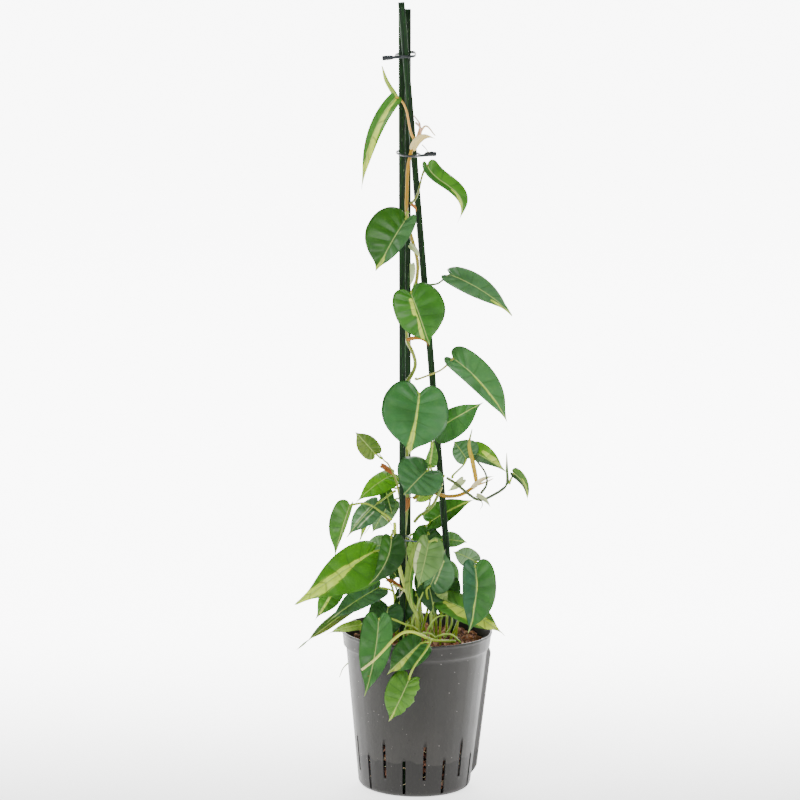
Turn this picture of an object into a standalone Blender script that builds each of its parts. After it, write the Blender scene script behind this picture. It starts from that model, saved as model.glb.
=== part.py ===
"""A variegated heart-leaf climber tied to three stakes in a slotted culture pot.

Units are metres, Z is up, and the front of the plant faces -Y. The origin is the middle of the pot's
underside. Tables hold millimetres, which MM turns to metres.
"""

import math

import bmesh
import bpy
import numpy as np

MM = 0.001

# Pot
POT_HEIGHT = 190 * MM
RIM_RADIUS = 90 * MM
BASE_RADIUS = 66.5 * MM
WALL = 1.8 * MM
COLLAR_HEIGHT = 18 * MM
BASE_CORNER = 8 * MM
POT_SEGMENTS = 44

# Drain slots: two rows, each slot a fixed angle from the next, angles from the front towards +X
SLOT_WIDTH = 4.0 * MM
SLOT_HEIGHT = 42 * MM
SLOT_STEP = 40
LOWER_SLOT_BASE = 3.5 * MM
LOWER_SLOT_START = -56
UPPER_SLOT_BASE = 22 * MM
UPPER_SLOT_START = -76

# Level-gauge channel, moulded down the right-hand side
CHANNEL_ANGLE = 94
CHANNEL_RADIUS = 7.6 * MM
CHANNEL_BORE = 5.6 * MM
CHANNEL_BASE = 16 * MM

# Substrate and root ball. The plant's tables hold heights for a soil level of TABLE_SOIL_LEVEL, and
# plant, ties and stakes rise or sink with the soil.
SOIL_BELOW_RIM = 16 * MM
SOIL_LEVEL = POT_HEIGHT - SOIL_BELOW_RIM
TABLE_SOIL_LEVEL = 174 * MM
LIFT = SOIL_LEVEL - TABLE_SOIL_LEVEL
SOIL_ROUGHNESS = 1.6 * MM
ROOT_BALL_RADIUS = 30 * MM
ROOT_BALL_BASE = 60 * MM
GAP = 0.35 * MM

# Stakes: square canes with eased corners, each a line from top to bottom
STAKE_WIDTH = 7.4 * MM
STAKE_CORNER = 1.4 * MM
STAKE_FLOOR_GAP = 3 * MM
STAKE_WALL_GAP = 0.9 * MM
STAKES = {
    "stake_front": ((-30, 4, 930), (-20, -54, 8)),
    "stake_rear": ((-22, 11, 929), (-4, 46, 8)),
    "stake_right": ((-33, -14, 939), (60.5, 18, 45)),
}

# Leaves
LEAF_THICKNESS = 0.9 * MM
LEAF_ROWS = 8
LEAF_COLUMNS = 3
NARROW_SHARE = 0.6  # a blade narrower than this share of its length has shorter lobes
PETIOLE_RADIUS = 1.2 * MM
TUBE_STEPS = 2

# Half outlines of a leaf, from the petiole round the basal lobe to the drip tip, for a round leaf and
# a long one: share of the length from petiole to tip, share of the half width
ROUND_OUTLINE = (
    (0.00, 0.00), (-0.06, 0.09), (-0.13, 0.27), (-0.145, 0.50), (-0.08, 0.75), (0.06, 0.93), (0.26, 1.00),
    (0.47, 0.97), (0.67, 0.80), (0.82, 0.51), (0.92, 0.21), (0.965, 0.07), (1.00, 0.00),
)
LONG_OUTLINE = (
    (0.00, 0.00), (-0.06, 0.10), (-0.12, 0.30), (-0.13, 0.55), (-0.07, 0.80), (0.05, 0.95), (0.20, 1.00),
    (0.37, 0.90), (0.53, 0.68), (0.67, 0.42), (0.79, 0.20), (0.90, 0.07), (1.00, 0.00),
)

# One row for a leaf: petiole joint, tip, which way it faces, half widths left and right of the midrib,
# shape (arch, sideways bow, fold, cup, tip curl, roundness), and the petiole's way back to its stem.
# Lengths in millimetres; fold and cup are shares of the half width, and roundness runs from 0 to 1.
LEAVES = {
    "leaf_01": ((-38, -25, 830), (-78, -40, 722), (0.0, -1, 0.1), (8, 7), (4, -8, 0.6, 0.0, 0, 0.2),
                ((-33, -24, 824), (-24, -24, 809), (-17, -24, 790), (-16, -24, 782))),
    "leaf_02": ((1, -17, 750), (34, -48, 686), (0.1, -0.9, 0.4), (8, 10), (5, 13, 0.0, 0.0, 0, 0.4),
                ((-2, -16, 739), (-8, -17, 723), (-15, -21, 711), (-19, -22, 705))),
    "leaf_03": ((-25, -33, 688), (-61, -56, 629), (-0.3, -0.9, 0.3), (37, 15), (5, 0, 0.0, -0.12, 4, 1.0),
                ((-23, -29, 694), (-22, -26, 696))),
    "leaf_04": ((-18, -38, 602), (3, -58, 543), (0.1, -1, 0.1), (26, 34), (5, 0, -0.1, -0.1, 4, 1.0),
                ((-15, -30, 607), (-11, -16, 610), (-10, -13, 609))),
    "leaf_05": ((30, -18, 621), (102, -48, 578), (0.25, -0.75, 0.6), (14, 20), (6, 2, -0.15, 0.0, 0, 0.3),
                ((24, -18, 615), (16, -16, 610), (4, -14, 608), (-4, -11, 609))),
    "leaf_06": ((35, -22, 522), (98, -52, 451), (0.1, -0.95, 0.3), (13, 22), (6, 3, -0.1, 0.0, 0, 0.4),
                ((20, -20, 509), (8, -16, 501), (-3, -12, 495), (-8, -10, 496))),
    "leaf_07": ((-7, -46, 484), (-20, -68, 415), (0.05, -1, 0.12), (41, 39), (6, 0, -0.05, -0.1, 4, 1.0),
                ((-11, -40, 489), (-16, -24, 491), (-18, -15, 489))),
    "leaf_08": ((16, -22, 436), (72, -28, 471), (0.0, -0.9, 0.4), (21, 14), (5, 0, -0.1, 0.0, 0, 0.3),
                ((13, -18, 426), (9, -15, 399), (7, -10, 372))),
    "leaf_09": ((54, -13, 400), (39, -6, 420), (0.0, -0.9, 0.3), (21, 12), (2, 0, -0.1, 0.0, 0, 1.0),
                ((48, -14, 391), (40, -18, 382), (37, -20, 378))),
    "leaf_10": ((60, 5, 407), (99, -38, 389), (0.1, -0.9, 0.4), (10, 14), (3, 0, 0.2, 0.0, 0, 0.5),
                ((68, 0, 398), (75, -14, 386), (75, -21, 372), (71, -22, 360))),
    "leaf_11": ((108, -30, 386), (125, -36, 354), (0.5, -0.85, 0.1), (5, 9), (3, 4, 0.0, 0.0, 0, 0.2),
                ((107, -29, 381), (105, -28, 377))),
    "leaf_12": ((4, -42, 391), (-26, -66, 366), (0.0, -0.9, 0.5), (31, 27), (4, 0, -0.08, 0.06, 3, 0.75),
                ((11, -37, 388), (21, -29, 377), (24, -25, 371))),
    "leaf_13": ((9, -30, 395), (13, -26, 428), (0.2, -0.9, 0.0), (8, 7), (3, 0, 0.0, 0.0, 0, 0.2),
                ((16, -28, 385), (27, -24, 381))),
    "leaf_14": ((-56, -20, 408), (-79, -14, 433), (0.0, -1, 0.2), (12, 13), (3, 0, -0.1, 0.0, 0, 0.8),
                ((-50, -18, 403), (-46, -16, 401))),
    "leaf_15": ((-30, 9, 377), (-79, -24, 348), (-0.1, -0.8, 0.6), (12, 16), (8, 0, -0.1, 0.0, 0, 0.5),
                ((-25, 5, 372), (-19, 3, 366), (-15, -2, 363))),
    "leaf_16": ((-53, -32, 350), (-90, -50, 313), (-0.2, -0.8, 0.6), (14, 14), (4, 0, -0.1, 0.0, 0, 0.5),
                ((-47, -28, 353), (-38, -22, 358), (-30, -16, 362))),
    "leaf_17": ((-86, -42, 350), (-104, -56, 292), (-0.3, -0.9, 0.1), (18, 4), (4, 0, 0.0, 0.0, 0, 0.8),
                ((-73, -42, 352), (-61, -43, 349), (-49, -45, 343), (-40, -46, 338), (-37, -46, 333))),
    "leaf_18": ((-39, 10, 357), (-31, 6, 328), (-0.2, -1, 0.1), (9, 8), (2, 0, 0.0, 0.0, 0, 0.8),
                ((-34, 8, 361), (-23, 2, 360), (-19, -3, 358))),
    "leaf_19": ((-32, 24, 340), (-54, 20, 303), (-0.3, -0.9, 0.3), (14, 14), (3, 0, 0.0, 0.0, 0, 0.8),
                ((-26, 17, 346), (-19, 4, 346), (-17, -3, 343))),
    "leaf_20": ((-66, -25, 330), (-73, -28, 303), (0.3, -0.9, 0.1), (4, 4), (2, 0, 0.0, 0.0, 0, 0.0),
                ((-60, -25, 337), (-50, -30, 338), (-39, -40, 331))),
    "leaf_21": ((-30, 28, 287), (-66, 24, 283), (-0.2, -0.8, 0.6), (14, 14), (3, 0, 0.0, 0.0, 0, 0.7),
                ((-26, 22, 294), (-20, 2, 302), (-18, -7, 306))),
    "leaf_22": ((-59, -60, 298), (-154, -98, 242), (-0.1, -0.75, 0.65), (24, 34), (8, 2, -0.1, 0.0, 2, 0.2),
                ((-52, -58, 299), (-42, -52, 297), (-36, -49, 294))),
    "leaf_23": ((-38, -60, 314), (-68, -94, 264), (-0.2, -0.95, 0.2), (12, 19), (4, 7, -0.1, 0.0, 4, 0.4),
                ((-37, -55, 318), (-35.5, -50, 321))),
    "leaf_24": ((-51, -52, 253), (-114, -78, 217), (-0.2, -0.8, 0.6), (16, 16), (5, 0, 0.1, 0.0, 0, 0.2),
                ((-38, -48, 250), (-32, -39, 240), (-29, -29, 222), (-20, -22, 200), (-14, -20, 184))),
    "leaf_25": ((-84, -38, 224), (-149, -64, 181), (-0.2, -0.8, 0.6), (9, 8), (8, 3, 0.1, 0.0, 0, 0.0),
                ((-72, -32, 232), (-45, -24, 230), (-24, -16, 200), (-20, -13, 182))),
    "leaf_26": ((-102, -40, 251), (-126, -52, 214), (0.0, -0.9, 0.4), (12, 14), (3, 0, 0.0, 0.0, 0, 0.2),
                ((-95, -36, 256), (-72, -26, 262), (-40, -14, 250), (-24, -6, 182))),
    "leaf_27": ((-40, -55, 230), (-49, -66, 190), (0.0, -0.9, 0.5), (22, 20), (4, 0, 0.1, 0.0, 0, 0.7),
                ((-36, -50, 232), (-31, -44, 226), (-29, -36, 205), (-22, -28, 184))),
    "leaf_28": ((-54, -88, 223), (-72, -115, 136), (-0.1, -1, 0.15), (20, 18), (5, 4, -0.1, 0.0, 0, 0.6),
                ((-45, -84, 224), (-35, -78, 220), (-23, -68, 213), (-8, -52, 203), (2, -40, 190))),
    "leaf_29": ((-74, -70, 212), (-114, -78, 203), (0.0, -0.8, 0.6), (7, 7), (5, 0, 0.0, 0.0, 0, 0.0),
                ((-66, -64, 213), (-58, -54, 206), (-36, -38, 186))),
    "leaf_30": ((-5, -94, 195), (-46, -113, 162), (-0.1, -0.85, 0.5), (19, 19), (4, 0, -0.05, 0.0, 0, 0.5),
                ((1, -91, 196), (6, -88, 196))),
    "leaf_31": ((-19, -108, 155), (-43, -116, 106), (0.0, -1, 0.1), (21, 22), (4, 0, -0.1, 0.0, 0, 0.8),
                ((-15, -113, 163), (-10, -115, 176), (-3, -110, 189), (3, -98, 198), (4, -92, 199))),
    "leaf_32": ((6, -61, 310), (-8, -78, 257), (0.1, -0.95, 0.3), (14, 22), (5, 0, -0.15, 0.0, 0, 0.8),
                ((11, -55, 312), (15, -42, 296), (16, -30, 250), (17, -20, 184))),
    "leaf_33": ((0, -50, 305), (0, -64, 208), (-0.4, -0.9, 0.1), (7, 6), (4, -15, 0.3, 0.0, 0, 0.3),
                ((3, -45, 308), (3, -37, 296), (1, -32, 250), (1, -26, 184))),
    "leaf_34": ((10, -48, 254), (26, -54, 300), (0.1, -1, 0.1), (24, 9), (4, 0, 0.0, 0.0, 3, 0.8),
                ((9, -46, 248), (10, -41, 232), (13, -34, 214), (12, -28, 184))),
    "leaf_35": ((70, 12, 270), (43, 18, 281), (0.1, -0.9, 0.4), (12, 12), (3, 0, 0.0, 0.0, 0, 1.0),
                ((67, 8, 262), (60, -2, 225), (46, -6, 184))),
    "leaf_36": ((63, -50, 277), (52, -82, 203), (0.1, -1, 0.2), (17, 25), (4, 4, -0.1, 0.0, 0, 0.8),
                ((62, -43, 280), (58, -28, 261), (48, -18, 222), (38, -14, 184))),
    "leaf_37": ((30, -42, 235), (99, -66, 197), (0.1, -0.6, 0.8), (22, 21), (5, 0, 0.0, 0.0, 0, 0.4),
                ((27, -38, 230), (25, -34, 212), (25, -30, 184))),
    "leaf_38": ((20, -40, 250), (32, -46, 234), (0.1, -1, 0.1), (7, 7), (2, 0, 0.0, 0.0, 0, 0.8),
                ((20, -36, 252), (22, -28, 236), (22, -20, 184))),
    "leaf_39": ((33, 26, 294), (61, 22, 291), (0.1, -0.9, 0.4), (9, 10), (3, 0, 0.0, 0.0, 0, 0.8),
                ((29, 23, 288), (14, 14, 250), (4, 6, 184))),
    "leaf_40": ((16, 28, 315), (68, 16, 345), (0.1, -0.8, 0.6), (13, 18), (5, 0, 0.0, 0.0, 0, 0.3),
                ((10, 24, 312), (-4, 10, 304), (-13, -5, 303))),
    "leaf_41": ((8, 40, 300), (36, 38, 282), (0.1, -0.9, 0.4), (12, 12), (3, 0, 0.0, 0.0, 0, 0.9),
                ((5, 36, 294), (2, 22, 250), (-4, 12, 184))),
    "leaf_42": ((12, -4, 359), (-6, -5, 345), (0.0, -0.9, 0.4), (7, 8), (2, 0, 0.0, 0.0, 0, 0.8),
                ((13, -6, 353), (11, -7, 343), (8, -7, 338))),
    "leaf_43": ((-7, -10, 297), (-14, -20, 277), (0.0, -1, 0.1), (6, 6), (2, 0, 0.0, 0.0, 0, 0.6),
                ((-9, -9, 301), (-12, -9, 304))),
    "leaf_44": ((-29, -30, 261), (-41, -32, 290), (-0.1, -1, 0.1), (7, 8), (2, 0, 0.0, 0.0, 0, 0.3),
                ((-27, -26, 252), (-20, -20, 215), (-18, -17, 184))),
}

# Furled young leaves that stand on a leaf's petiole: end radii and the points on their way
SPEARS = {
    "leaf_01": ((1.7, 0.5), ((-34, -24, 826), (-41, -23, 836), (-50, -24, 851), (-55, -26, 866))),
}

# Stems: each a list of runs joined into one body, and a run is its end radii and the points on its way
VINES = {
    "vine_main": (
        ((2.4, 1.9), ((-9, -19, 177), (-14, -15, 229), (-18, -11, 302), (-17, -9, 323), (-15, -8, 361),
                      (-17, -7, 422), (-19, -7, 470), (-19, -8, 489), (-13, -6, 498), (-8, -5, 511),
                      (-11, -5, 525), (-18, -6, 540), (-19, -8, 556), (-16, -9, 583), (-9, -9, 610),
                      (-8, -10, 634), (-15, -15, 661), (-20, -19, 676), (-23, -22, 697), (-23, -21, 718),
                      (-22, -19, 746), (-19, -20, 764), (-14, -20, 778))),
        ((1.8, 0.5), ((-14, -20, 776), (-3, -22, 796), (9, -22, 785))),
        ((1.6, 0.5), ((-14, -20, 776), (-9, -21, 796), (-16, -20, 808))),
    ),
    "vine_front": (
        ((2.4, 2.0), ((1, -32, 178), (-6, -38, 221), (-13, -43, 234), (-17, -45, 245), (-23, -47, 263),
                      (-27, -48, 278), (-30, -48, 293), (-32, -47, 309), (-33, -44, 329))),
        ((1.6, 1.0), ((-16, -45, 244), (-26, -48, 252), (-36, -47, 256))),
    ),
    "vine_orange": (
        ((2.2, 2.2), ((-8, -12, 352), (5, -19, 363), (20, -15, 358), (34, -11, 354), (50, -12, 357),
                      (66, -14, 368))),
        ((2.6, 0.6), ((66, -14, 366), (65, -17, 378), (61, -19, 398), (56, -20, 418), (59, -21, 437))),
        ((1.5, 0.5), ((66, -14, 368), (78, -14, 372), (86, -14, 376))),
    ),
    "vine_dark": (
        ((1.7, 1.6), ((30, -24, 379), (41, -24, 372), (48, -24, 366), (58, -23, 358), (66, -23, 353),
                      (76, -22, 353), (92, -24, 362), (99, -26, 368), (102, -26, 376), (101, -26, 391),
                      (100, -26, 409))),
    ),
    "vine_green": (
        ((2.0, 1.7), ((-6, -6, 322), (0, -8, 330), (9, -12, 337), (16, -17, 347), (24, -21, 367))),
    ),
    "vine_upper_left": (
        ((1.6, 0.8), ((-20, -10, 330), (-28, -9, 370), (-38, -12, 392), (-44, -13, 398), (-51, -16, 408))),
    ),
    "vine_trailing": (
        ((2.2, 1.8), ((40, -55, 194), (27, -66, 192), (13, -78, 194), (-7, -94, 205), (-18, -104, 212),
                      (-26, -110, 212), (-35, -115, 206), (-45, -119, 197), (-53, -121, 189),
                      (-62, -122, 181), (-76, -123, 171))),
    ),
}

# Ties: a closed loop round what it holds, and the end piece that sticks out
TIES = {
    "tie_top": (1.0, ((-34, -17, 876), (-17, -17, 877), (-13, 10, 878), (-17, 20, 878), (-27, 20, 877),
                      (-37, 2, 876)),
                ((1.2, 2.6), ((-36.5, -10, 875.5), (-43, -12, 875), (-51, -13, 874)))),
    "tie_middle": (1.0, ((-32, -16, 762), (-22, -24.5, 761), (-10, -15, 760), (-6, -4, 760),
                         (-14, 24, 761), (-25, 24, 762), (-34, -2, 763)),
                   ((1.4, 2.2), ((-6, -4, 760), (0, -8, 762), (9, -9, 762)))),
    "tie_low": (0.8, ((-36.5, -46, 311), (-32.5, -50.8, 310), (-22, -45, 308), (-14, -38, 306),
                      (-14, -28, 308), (-24, -24, 311), (-33.5, -32, 312)),
                ((0.8, 0.8), ((-14, -37, 306), (-8, -34, 304), (-3, -33, 302)))),
}


def clear_scene():
    for obj in list(bpy.data.objects):
        bpy.data.objects.remove(obj, do_unlink=True)


def new_collection(name, helpers=False):
    group = bpy.data.collections.new(name)
    bpy.context.scene.collection.children.link(group)
    group.hide_render = helpers
    return group


def finish(name, colour, roughness):
    """A Principled material of one colour."""
    made = bpy.data.materials.new(name)
    made.use_nodes = True
    shader = made.node_tree.nodes["Principled BSDF"]
    shader.inputs["Base Color"].default_value = (*colour, 1.0)
    shader.inputs["Roughness"].default_value = roughness
    return made


def mesh_object(name, points, faces, group):
    mesh = bpy.data.meshes.new(name)
    mesh.from_pydata(np.asarray(points, float).tolist(), [], [list(face) for face in faces])
    mesh.update()
    obj = bpy.data.objects.new(name, mesh)
    group.objects.link(obj)
    return obj


def applied(obj):
    """Turns the object into the mesh that its modifiers or its curve make, in world space."""
    graph = bpy.context.evaluated_depsgraph_get()
    graph.update()
    mesh = bpy.data.meshes.new_from_object(obj.evaluated_get(graph))
    mesh.transform(obj.matrix_world)
    name = obj.name
    group = obj.users_collection[0]
    bpy.data.objects.remove(obj, do_unlink=True)
    made = bpy.data.objects.new(name, mesh)
    group.objects.link(made)
    return made


def welded(obj, within=1e-6):
    """Makes points this close into one, as where a curve's caps meet its sides."""
    work = bmesh.new()
    work.from_mesh(obj.data)
    bmesh.ops.remove_doubles(work, verts=work.verts, dist=within)
    work.to_mesh(obj.data)
    work.free()
    return obj


def cut(obj, other, operation):
    """An exact Boolean, applied at once; the other object is removed."""
    step = obj.modifiers.new(operation.title(), "BOOLEAN")
    step.operation = operation
    step.solver = "EXACT"
    step.object = other
    bpy.context.view_layer.update()
    made = applied(obj)
    bpy.data.objects.remove(other, do_unlink=True)
    return made


def revolve(name, profile, segments, group):
    """A closed profile turned about Z. It runs from the axis, out, and down its outer side."""
    points = [(radius, 0.0, height) for radius, height in profile]
    mesh = bpy.data.meshes.new(name)
    mesh.from_pydata(points, [(i, i + 1) for i in range(len(points) - 1)], [])
    obj = bpy.data.objects.new(name, mesh)
    group.objects.link(obj)
    turn = obj.modifiers.new("Screw", "SCREW")
    turn.steps = segments
    turn.render_steps = segments
    turn.use_merge_vertices = True
    turn.merge_threshold = 1e-5
    bpy.context.view_layer.update()
    return welded(applied(obj))


def smooth_path(points, steps, closed=False):
    """Catmull-Rom through the points, with the given number of steps to each span."""
    knots = np.asarray(points, float)
    if closed:
        knots = np.vstack([knots[-1:], knots, knots[:2]])
    else:
        knots = np.vstack([2 * knots[0] - knots[1], knots, 2 * knots[-1] - knots[-2]])
    share = np.linspace(0, 1, steps, endpoint=False)[:, None]
    spans = []
    for a, b, c, d in zip(knots, knots[1:], knots[2:], knots[3:]):
        spans.append(0.5 * (2 * b + (c - a) * share + (2 * a - 5 * b + 4 * c - d) * share**2
                            + (3 * b - a - 3 * c + d) * share**3))
    path = np.vstack(spans)
    return path if closed else np.vstack([path, knots[-2:-1]])


def tube(name, points, radii, group, steps=TUBE_STEPS, closed=False, bevel=1, lift=LIFT):
    """A round rod along a smooth path in millimetres, its radius changing evenly from end to end."""
    path = smooth_path(points, steps, closed) * MM + (0.0, 0.0, lift)
    curve = bpy.data.curves.new(name, "CURVE")
    curve.dimensions = "3D"
    curve.bevel_depth = MM
    curve.bevel_resolution = bevel
    curve.use_fill_caps = True
    spline = curve.splines.new("POLY")
    spline.points.add(len(path) - 1)
    spline.points.foreach_set("co", np.hstack([path, np.ones((len(path), 1))]).ravel())
    spline.points.foreach_set("radius", np.linspace(radii[0], radii[1], len(path)))
    spline.use_cyclic_u = closed
    obj = bpy.data.objects.new(name, curve)
    group.objects.link(obj)
    bpy.context.view_layer.update()
    return welded(applied(obj))


def joined(pieces):
    body = pieces[0]
    for piece in pieces[1:]:
        body = cut(body, piece, "UNION")
    return body


def shade(obj, material, smooth):
    obj.data.materials.clear()
    obj.data.materials.append(material)
    obj.data.polygons.foreach_set("use_smooth", [smooth] * len(obj.data.polygons))
    return obj


# ---------------------------------------------------------------- pot

def wall_radius(height):
    """Outer radius of the pot's tapered body at a height."""
    shoulder = POT_HEIGHT - COLLAR_HEIGHT
    return BASE_RADIUS + (RIM_RADIUS - 5.5 * MM - BASE_RADIUS) * height / shoulder


def pot_profile():
    shoulder = POT_HEIGHT - COLLAR_HEIGHT
    corner = BASE_CORNER
    edge = wall_radius(corner)
    inner = [
        (0.0, 2 * MM),
        (edge - corner, 2 * MM),
        (edge - WALL - 0.2 * corner, 0.35 * corner + WALL),
        (wall_radius(corner + 2 * MM) - WALL, corner + 2 * MM),
        (wall_radius(shoulder - 4 * MM) - WALL, shoulder - 4 * MM),
        (RIM_RADIUS - 4.5 * MM, shoulder),
        (RIM_RADIUS - 3.0 * MM, POT_HEIGHT - 1 * MM),
        (RIM_RADIUS - 2.5 * MM, POT_HEIGHT),
    ]
    outer = [
        (RIM_RADIUS - 0.5 * MM, POT_HEIGHT),
        (RIM_RADIUS, POT_HEIGHT - 1 * MM),
        (RIM_RADIUS, POT_HEIGHT - 2.6 * MM),
        (RIM_RADIUS - 1.0 * MM, POT_HEIGHT - 3.2 * MM),
        (RIM_RADIUS - 2.6 * MM, shoulder),
        (wall_radius(shoulder - 3 * MM), shoulder - 3 * MM),
        (edge, corner),
        (edge - 0.3 * corner, 0.3 * corner),
        (edge - corner, 0.0),
        (0.0, 0.0),
    ]
    return inner + outer


def channel_path(radius_offset, low, high):
    angle = math.radians(CHANNEL_ANGLE)
    spots = []
    for height in (low, low + 3 * MM, 0.5 * (low + high), high):
        radius = wall_radius(height) + radius_offset
        spots.append((radius * math.sin(angle) / MM, -radius * math.cos(angle) / MM, height / MM))
    return spots


def slot_cutter(name, group):
    """Upright boxes through the wall, in two rows that alternate; none where the channel is."""
    points = []
    faces = []
    for start, base in ((LOWER_SLOT_START, LOWER_SLOT_BASE), (UPPER_SLOT_START, UPPER_SLOT_BASE)):
        for turn in range(0, 360, SLOT_STEP):
            angle = start + turn
            if abs(angle - CHANNEL_ANGLE) < 15:
                continue
            points += slot_corners(math.radians(angle), base)
            first = len(points) - 8
            faces += [[first + i for i in face] for face in BOX_FACES]
    return mesh_object(name, points, faces, group)


BOX_FACES = ((0, 3, 2, 1), (4, 5, 6, 7), (0, 1, 5, 4), (1, 2, 6, 5), (2, 3, 7, 6), (3, 0, 4, 7))


def slot_corners(angle, base):
    """Eight corners of one slot's box: its inner face stays in the wall's inner corner."""
    out = np.array((math.sin(angle), -math.cos(angle)))
    side = np.array((math.cos(angle), math.sin(angle)))
    near = BASE_RADIUS - 8 * MM
    far = RIM_RADIUS
    half = SLOT_WIDTH / 2
    ring = [out * near - side * half, out * far - side * half, out * far + side * half,
            out * near + side * half]
    return [(x, y, base) for x, y in ring] + [(x, y, base + SLOT_HEIGHT) for x, y in ring]


def make_pot(group, helpers):
    body = revolve("pot", pot_profile(), POT_SEGMENTS, group)
    shoulder = POT_HEIGHT - COLLAR_HEIGHT
    rib = tube("channel", channel_path(-0.5 * MM, CHANNEL_BASE, shoulder - 5 * MM),
               (CHANNEL_RADIUS / MM, CHANNEL_RADIUS / MM), helpers, steps=1, bevel=3, lift=0.0)
    body = cut(body, rib, "UNION")
    bore = tube("bore", channel_path(-0.5 * MM, CHANNEL_BASE + 3 * MM, shoulder - 7 * MM),
                (CHANNEL_BORE / MM, CHANNEL_BORE / MM), helpers, steps=1, bevel=3, lift=0.0)
    body = cut(body, bore, "DIFFERENCE")
    inside = revolve("inside", inside_profile(0.0), POT_SEGMENTS, helpers)
    body = cut(body, inside, "DIFFERENCE")
    return cut(body, slot_cutter("slots", helpers), "DIFFERENCE")


def inside_profile(gap):
    """The pot's hollow up to the soil, smaller by the gap all round."""
    corner = BASE_CORNER
    edge = wall_radius(corner)
    top = SOIL_LEVEL - 6 * MM
    return [
        (0.0, top),
        (wall_radius(top) - WALL - gap, top),
        (wall_radius(corner + 2 * MM) - WALL - gap, corner + 2 * MM),
        (edge - WALL - 0.2 * corner - gap, 0.35 * corner + WALL + gap),
        (edge - corner - gap, 2 * MM + gap),
        (0.0, 2 * MM + gap),
    ]


# ---------------------------------------------------------------- substrate

def lumps(x, y):
    """A rough surface from crossed sine waves, between -1 and 1."""
    return (np.sin(310 * x + 2 * np.sin(190 * y)) * np.sin(270 * y + 1.5 * np.sin(230 * x))
            + 0.6 * np.sin(640 * x + 1.1) * np.sin(590 * y + 0.4)) / 1.6


def roughen_top(obj, level):
    """Lifts and lowers the points near a level by the lumps."""
    count = len(obj.data.vertices)
    spots = np.empty(count * 3)
    obj.data.vertices.foreach_get("co", spots)
    spots = spots.reshape(-1, 3)
    top = spots[:, 2] > level - 3 * MM
    spots[top, 2] += SOIL_ROUGHNESS * lumps(spots[top, 0], spots[top, 1])
    obj.data.vertices.foreach_set("co", spots.ravel())
    return obj


def make_substrate(group, helpers):
    sides = inside_profile(GAP)[1:]
    rings = [(share * sides[0][0], SOIL_LEVEL) for share in (0.0, 0.2, 0.4, 0.6, 0.8, 0.96)]
    body = revolve("substrate", rings + [(sides[0][0], SOIL_LEVEL - 4 * MM)] + sides, 32, group)
    body = roughen_top(body, SOIL_LEVEL)
    well = revolve("well", root_ball_profile(GAP, SOIL_LEVEL + 20 * MM), 24, helpers)
    body = cut(body, well, "DIFFERENCE")
    for name, (top, bottom) in STAKES.items():
        body = cut(body, stake(name + "_hole", top, bottom, GAP, helpers), "DIFFERENCE")
    shoulder = POT_HEIGHT - COLLAR_HEIGHT
    channel = tube("channel_gap", channel_path(-0.5 * MM, CHANNEL_BASE + 2.5 * MM, shoulder + 20 * MM),
                   (CHANNEL_BORE / MM + 0.4, CHANNEL_BORE / MM + 0.4), helpers, steps=1, bevel=3, lift=0.0)
    return cut(body, channel, "DIFFERENCE")


def root_ball_profile(gap, top):
    """A straight-sided plug, bigger by the gap all round."""
    low = ROOT_BALL_BASE - gap
    return [
        (0.0, top),
        (0.5 * ROOT_BALL_RADIUS, top),
        (ROOT_BALL_RADIUS + gap, top),
        (ROOT_BALL_RADIUS + gap, low),
        (0.0, low),
    ]


def make_root_ball(group):
    body = revolve("root_ball", root_ball_profile(0.0, SOIL_LEVEL), 24, group)
    return roughen_top(body, SOIL_LEVEL)


# ---------------------------------------------------------------- stakes and ties

def raised(points):
    """Points of a table, in metres, at the height that the soil level gives them."""
    return np.array(points, float) * MM + (0.0, 0.0, LIFT)


def stake_foot(top, bottom):
    """The lowest place on a stake's line that clears the pot's floor and its wall, in metres."""
    place = bottom
    while (place[2] < 2 * MM + STAKE_FLOOR_GAP or math.hypot(place[0], place[1])
           > wall_radius(place[2]) - WALL - STAKE_WIDTH / math.sqrt(2) - STAKE_WALL_GAP):
        place = place + (top - bottom) / 1000
    return place


def stake(name, top, bottom, gap, group):
    """A square bar with eased corners between two places of the table, bigger by the gap all round."""
    top = raised(top)
    bottom = stake_foot(top, raised(bottom))
    along = (top - bottom) / np.linalg.norm(top - bottom)
    bottom = bottom - along * gap
    side = np.cross((0.0, 1.0, 0.0), along)
    side /= np.linalg.norm(side)
    front = np.cross(along, side)
    half = STAKE_WIDTH / 2 + gap
    ease = half - STAKE_CORNER
    ring = ((half, ease), (ease, half), (-ease, half), (-half, ease),
            (-half, -ease), (-ease, -half), (ease, -half), (half, -ease))
    points = [end + side * a + front * b for end in (bottom, top) for a, b in ring]
    faces = [list(range(7, -1, -1)), list(range(8, 16))]
    faces += [[i, (i + 1) % 8, 8 + (i + 1) % 8, 8 + i] for i in range(8)]
    return mesh_object(name, points, faces, group)


def make_tie(name, radius, loop, tail, group, helpers):
    band = tube(name, loop, (radius, radius), group, steps=3, closed=True)
    head = tube(name + "_end", tail[1], tail[0], helpers)
    return cut(band, head, "UNION")


# ---------------------------------------------------------------- leaves

def outline_at(share, roundness):
    """The half outline at each share of its way, smooth through a mix of the round and the long one."""
    corners = roundness * np.array(ROUND_OUTLINE) + (1 - roundness) * np.array(LONG_OUTLINE)
    path = smooth_path(np.pad(corners, ((0, 0), (0, 1))), 8)[:, :2]
    place = np.asarray(share) * (len(path) - 1)
    known = np.arange(len(path))
    return np.stack([np.interp(place, known, path[:, 0]), np.interp(place, known, path[:, 1])], -1)


def lobe_share(widths, length):
    """How much of the full basal lobe a blade has: a narrow one has hardly any."""
    return float(np.clip(sum(widths) * MM / (NARROW_SHARE * length), 0.2, 1))


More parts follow.
